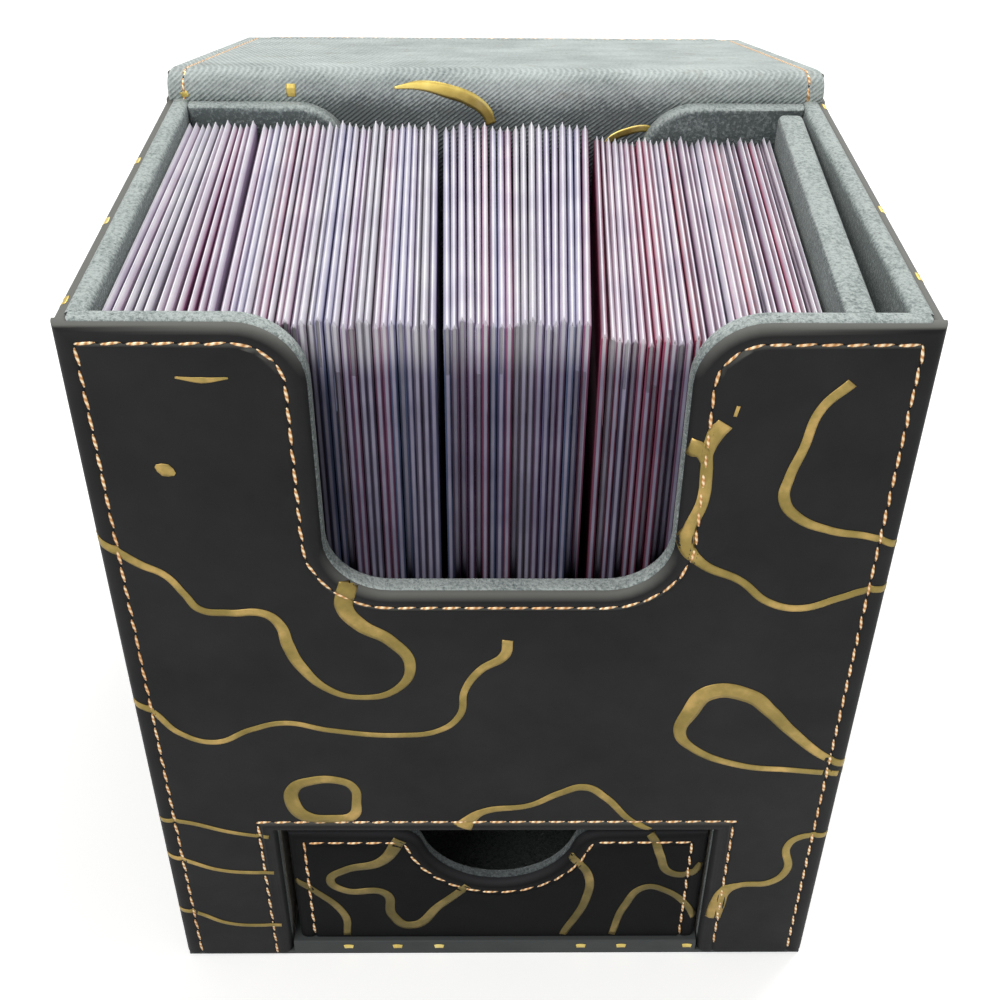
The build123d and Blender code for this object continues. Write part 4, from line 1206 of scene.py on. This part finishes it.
# The lines run on round both sides, over the back, and over the outside of the lid and flap.
left_strips = [
    [(38.9, 95, 1.2), (33, 97.5, 1.3), (26, 103, 1.4), (20, 110, 1.3), (12, 113.5, 1.1),
     (3, 112.5, 1), (-6, 107, 1.1), (-14, 105.5, 1.2), (-24, 110, 1.3), (-35.6, 119, 1.1)],
    [(38.9, 63.8, 1.1), (31, 66, 1.1), (24, 72.5, 1.2), (15, 77.5, 1.3), (5, 76, 1.2),
     (-4, 70, 1.1), (-13, 68.5, 1.1), (-22, 74, 1.2), (-30, 82.5, 1.3), (-35.6, 85, 1.2)],
    [(38.9, 37, 0.9), (30, 38.5, 1), (21, 44.5, 1.1), (11, 49, 1.2), (1, 47.5, 1.1),
     (-8, 41.5, 1), (-18, 39.5, 1), (-27, 43.5, 1.1), (-35.6, 49.5, 1.1)],
    [(38.9, 27.9, 0.9), (31, 26.5, 0.9), (22, 21.5, 0.9), (12, 19.5, 0.9), (2, 22, 1),
     (-9, 24.5, 1), (-20, 22, 0.9), (-30, 16.5, 0.9), (-35.6, 14.5, 0.9)],
    [(38.9, 13.3, 0.9), (33, 12.3, 0.9), (26, 8, 0.8), (23, 2, 0.8)],
    [(-10, 91, 1.8), (-13, 94.5, 1.6), (-17.5, 95, 1.5), (-21, 92, 1.6), (-20, 87.5, 1.8),
     (-15, 86, 1.9), (-10, 91, 1.8)],
]
right_strips = [
    [(-38.9, 94.2, 1.1), (-32, 93, 1.2), (-24, 97, 1.3), (-17, 105, 1.4), (-9, 111, 1.3),
     (2, 112, 1.1), (12, 106.5, 1.1), (20, 99.5, 1.2), (28, 97.5, 1.2), (35.6, 100, 1.2)],
    [(-38.9, 86.2, 1.2), (-31, 87, 1.2), (-21, 85, 1.1), (-12, 79.5, 1.1), (-2, 77.5, 1.2),
     (9, 81.5, 1.3), (19, 84.5, 1.2), (28, 81, 1.1), (35.6, 75.5, 1.1)],
    [(-38.9, 49.9, 1.3), (-30, 52.5, 1.2), (-20, 58.5, 1.3), (-9, 61, 1.4), (2, 57.5, 1.2),
     (11, 50.5, 1.1), (20, 48, 1.1), (29, 51, 1.2), (35.6, 55.5, 1.2)],
    [(-38.9, 32.9, 1.1), (-30, 31.5, 1), (-20, 26, 1), (-9, 24.5, 1), (3, 28.5, 1.1),
     (13, 32.5, 1.1), (24, 30.5, 1), (35.6, 24.5, 1)],
    [(-27, 12, 0.9), (-18, 14.5, 1), (-8, 12, 1), (3, 8, 0.9), (14, 8.5, 0.9),
     (24, 13, 1), (35.6, 14.5, 1)],
]
for side, strips in (("left", left_strips), ("right", right_strips)):
    lay_foil(side + "_foil", strips, side_planes[side], [side_leathers[side], front_leather], "case")

back_strips = [
    [(-54.7, 100, 1.2), (-42, 103, 1.3), (-30, 110, 1.4), (-16, 113, 1.3), (-3, 108, 1.2),
     (8, 99, 1.2), (20, 95, 1.3), (33, 98, 1.3), (44, 105, 1.3), (54.7, 108, 1.2)],
    [(-54.7, 72, 1.2), (-44, 70, 1.2), (-33, 62, 1.3), (-20, 58, 1.3), (-7, 63, 1.3),
     (4, 71, 1.4), (16, 74, 1.3), (28, 69, 1.2), (40, 60, 1.2), (54.7, 57, 1.2)],
    [(-54.7, 33, 1.1), (-43, 36, 1.1), (-30, 43, 1.2), (-16, 44, 1.2), (-4, 37, 1.1),
     (9, 30, 1.1), (23, 29, 1.1), (36, 35, 1.2), (46, 40, 1.2), (54.7, 41, 1.1)],
    [(-54.7, 14, 1), (-40, 12, 1), (-27, 16, 1.1), (-12, 20, 1.1), (3, 15, 1.1),
     (18, 11, 1), (34, 15, 1), (54.7, 19, 1)],
    [(31, 83, 1.9), (28, 87.5, 1.7), (22.5, 88, 1.6), (19, 84, 1.7), (21, 79, 1.9),
     (27, 78.5, 2), (31, 83, 1.9)],
]
lay_foil("back_foil", back_strips, back_plane, [back_leather], "case")
lid_strips = [
    [(-54.7, 22, 1.2), (-43, 25, 1.3), (-31, 33, 1.4), (-17, 36, 1.3), (-5, 30, 1.2),
     (7, 21, 1.2), (20, 18, 1.3), (33, 23, 1.3), (44, 30, 1.3), (54.7, 33, 1.2)],
    [(-54.7, 52, 1.2), (-43, 50, 1.2), (-31, 56, 1.3), (-19, 65, 1.3), (-5, 67, 1.2),
     (8, 59, 1.3), (20, 50, 1.4), (33, 48, 1.3), (45, 54, 1.2), (54.7, 60, 1.2)],
    [(-26, 14, 1.9), (-29, 18, 1.7), (-34, 18.5, 1.6), (-37, 14.5, 1.7), (-35, 10.5, 1.9),
     (-29, 10, 2), (-26, 14, 1.9)],
]
lay_foil("lid_foil", lid_strips, lid_leather_plane, [lid_leather], "lid")
flap_strips = [
    [(-49.7, 20, 1.1), (-38, 22, 1.2), (-25, 30, 1.3), (-11, 33, 1.3), (3, 26, 1.2),
     (16, 18, 1.2), (29, 18, 1.2), (40, 25, 1.2), (49.7, 29, 1.1)],
    [(30, 43, 1.9), (27, 47, 1.7), (22, 47, 1.6), (19, 43, 1.7), (21.5, 38.5, 1.9),
     (27, 38, 2), (30, 43, 1.9)],
]
lay_foil("flap_foil", flap_strips, flap_leather_plane, [flap_leather], "flap")

# A few lines cross the print of the cover's skin, in paler foil.
band_strips = [
    [(-17, 130.7, 0.4), (-12.8, 131, 1.4), (-8.4, 130.2, 2.2), (-4.2, 128.7, 2.4), (-1.8, 126.7, 2),
     (-0.9, 124.6, 1.6)],
    [(-34.1, 131.2, 1.5), (-34.1, 130.6, 1.6), (-34.1, 129.8, 1.6), (-34.1, 129.2, 1.5)],
    [(-51.9, 129.9, 1.2), (-51.8, 129.6, 1.3), (-51.7, 129.3, 1.3), (-51.6, 129, 1.1)],
    [(18.2, 120.8, 0.8), (19.7, 122.3, 1.2), (21.8, 123.3, 1.3), (25.1, 124, 1.2), (26.4, 123.7, 0.8)],
]
band_plane = plane_of((0, 34, 0), (1, 0, 0), (0, 0, 1))
lay_foil("skin_foil", band_strips, band_plane, [lid_skin], lid_blend, pale_foil)

top_plane = plane_of((0, 0, CASE_TOP), (1, 0, 0), (0, 1, 0))
edge_bit = ((-1.0, 0.8), (-0.3, 0.95), (0.3, 0.95), (1.0, 0.8))
for side, x, rows in (("left", -54.55, (10.6, -10.3, -33.2)), ("right", 54.55, (34.2, -5.8, -26.2))):
    bits = [[(x, row + step, width) for step, width in edge_bit] for row in rows]
    lay_foil(side + "_edge_foil", bits, top_plane, [side_leathers[side]], "case", pale_foil)

lip_strips = [
    [(x - 0.8, 2.0, 0.9), (x - 0.3, 2.1, 1.0), (x + 0.3, 2.1, 1.0), (x + 0.8, 2.0, 0.9)]
    for x in (-26.1, -17.4, -10.0, 15.3, 22.5, 34.3)
]
base_front_plane = plane_of((0, -39.1, 0), (1, 0, 0), (0, 0, 1))
lay_foil("base_foil", lip_strips, base_front_plane, [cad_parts["base_leather"]], "case", pale_foil)

# ---------------------------------------------------------------- studio
# A pale floor, a bright even sky and two large soft lamps, at a level where a colour renders
# about as it is written.
FILL_GLOW = 0.42


def seen_directly(add):
    """1 for a ray from the camera, or by way of gloss or glass, and 0 for light on the box."""
    camera_ray, glossy_ray, through_ray = (
        add("LightPath", out=f"Is {kind} Ray") for kind in ("Camera", "Glossy", "Transmission")
    )
    seen = add("Math", {0: camera_ray, 1: glossy_ray}, operation="MAXIMUM")
    return add("Math", {0: seen, 1: through_ray}, operation="MAXIMUM")


def studio_floor(name):
    """Matt white card that keeps the soft shadow and shows white to the camera."""
    material, add = start_material(name)[:2]
    card = add("BsdfDiffuse", {"Color": linear("#f2f2f0")})
    glow = add("Emission", {"Color": linear("#ffffff"), "Strength": FILL_GLOW})
    lit = add("AddShader", {0: card, 1: glow})
    add("OutputMaterial", {"Surface": add("MixShader", {0: seen_directly(add), 1: card, 2: lit})})
    return material


bm = bmesh.new()
bmesh.ops.create_grid(bm, x_segments=1, y_segments=1, size=4.0)
floor_mesh = bpy.data.meshes.new("floor")
bm.to_mesh(floor_mesh)
bm.free()
floor_mesh.materials.append(studio_floor("floor_card"))
floor = bpy.data.objects.new("floor", floor_mesh)
bpy.context.scene.collection.objects.link(floor)

world = bpy.data.worlds.new("studio")
world.use_nodes = True
world.node_tree.nodes.clear()
add = partial(add_node, world.node_tree)
strength = add("MapRange", {"Value": seen_directly(add), "To Min": FILL_GLOW, "To Max": 1.0})
add("OutputWorld", {"Surface": add("Background", {"Color": linear("#ffffff"), "Strength": strength})})
bpy.context.scene.world = world


def soft_lamp(name, place, target, size, power):
    """A square softbox aimed at a point, in metres and watts."""
    lamp_data = bpy.data.lights.new(name, "AREA")
    lamp_data.size = size
    lamp_data.energy = power
    lamp = bpy.data.objects.new(name, lamp_data)
    lamp.location = place
    lamp.rotation_euler = (Vector(target) - Vector(place)).to_track_quat("-Z", "Y").to_euler()
    bpy.context.scene.collection.objects.link(lamp)


soft_lamp("key_softbox", (-0.45, -0.5, 0.75), (0, 0, 0.08), 0.55, 4.4)
soft_lamp("back_softbox", (0.35, 0.55, 0.8), (0, 0, 0.1), 0.5, 6.0)
bpy.context.scene.view_settings.view_transform = "Standard"
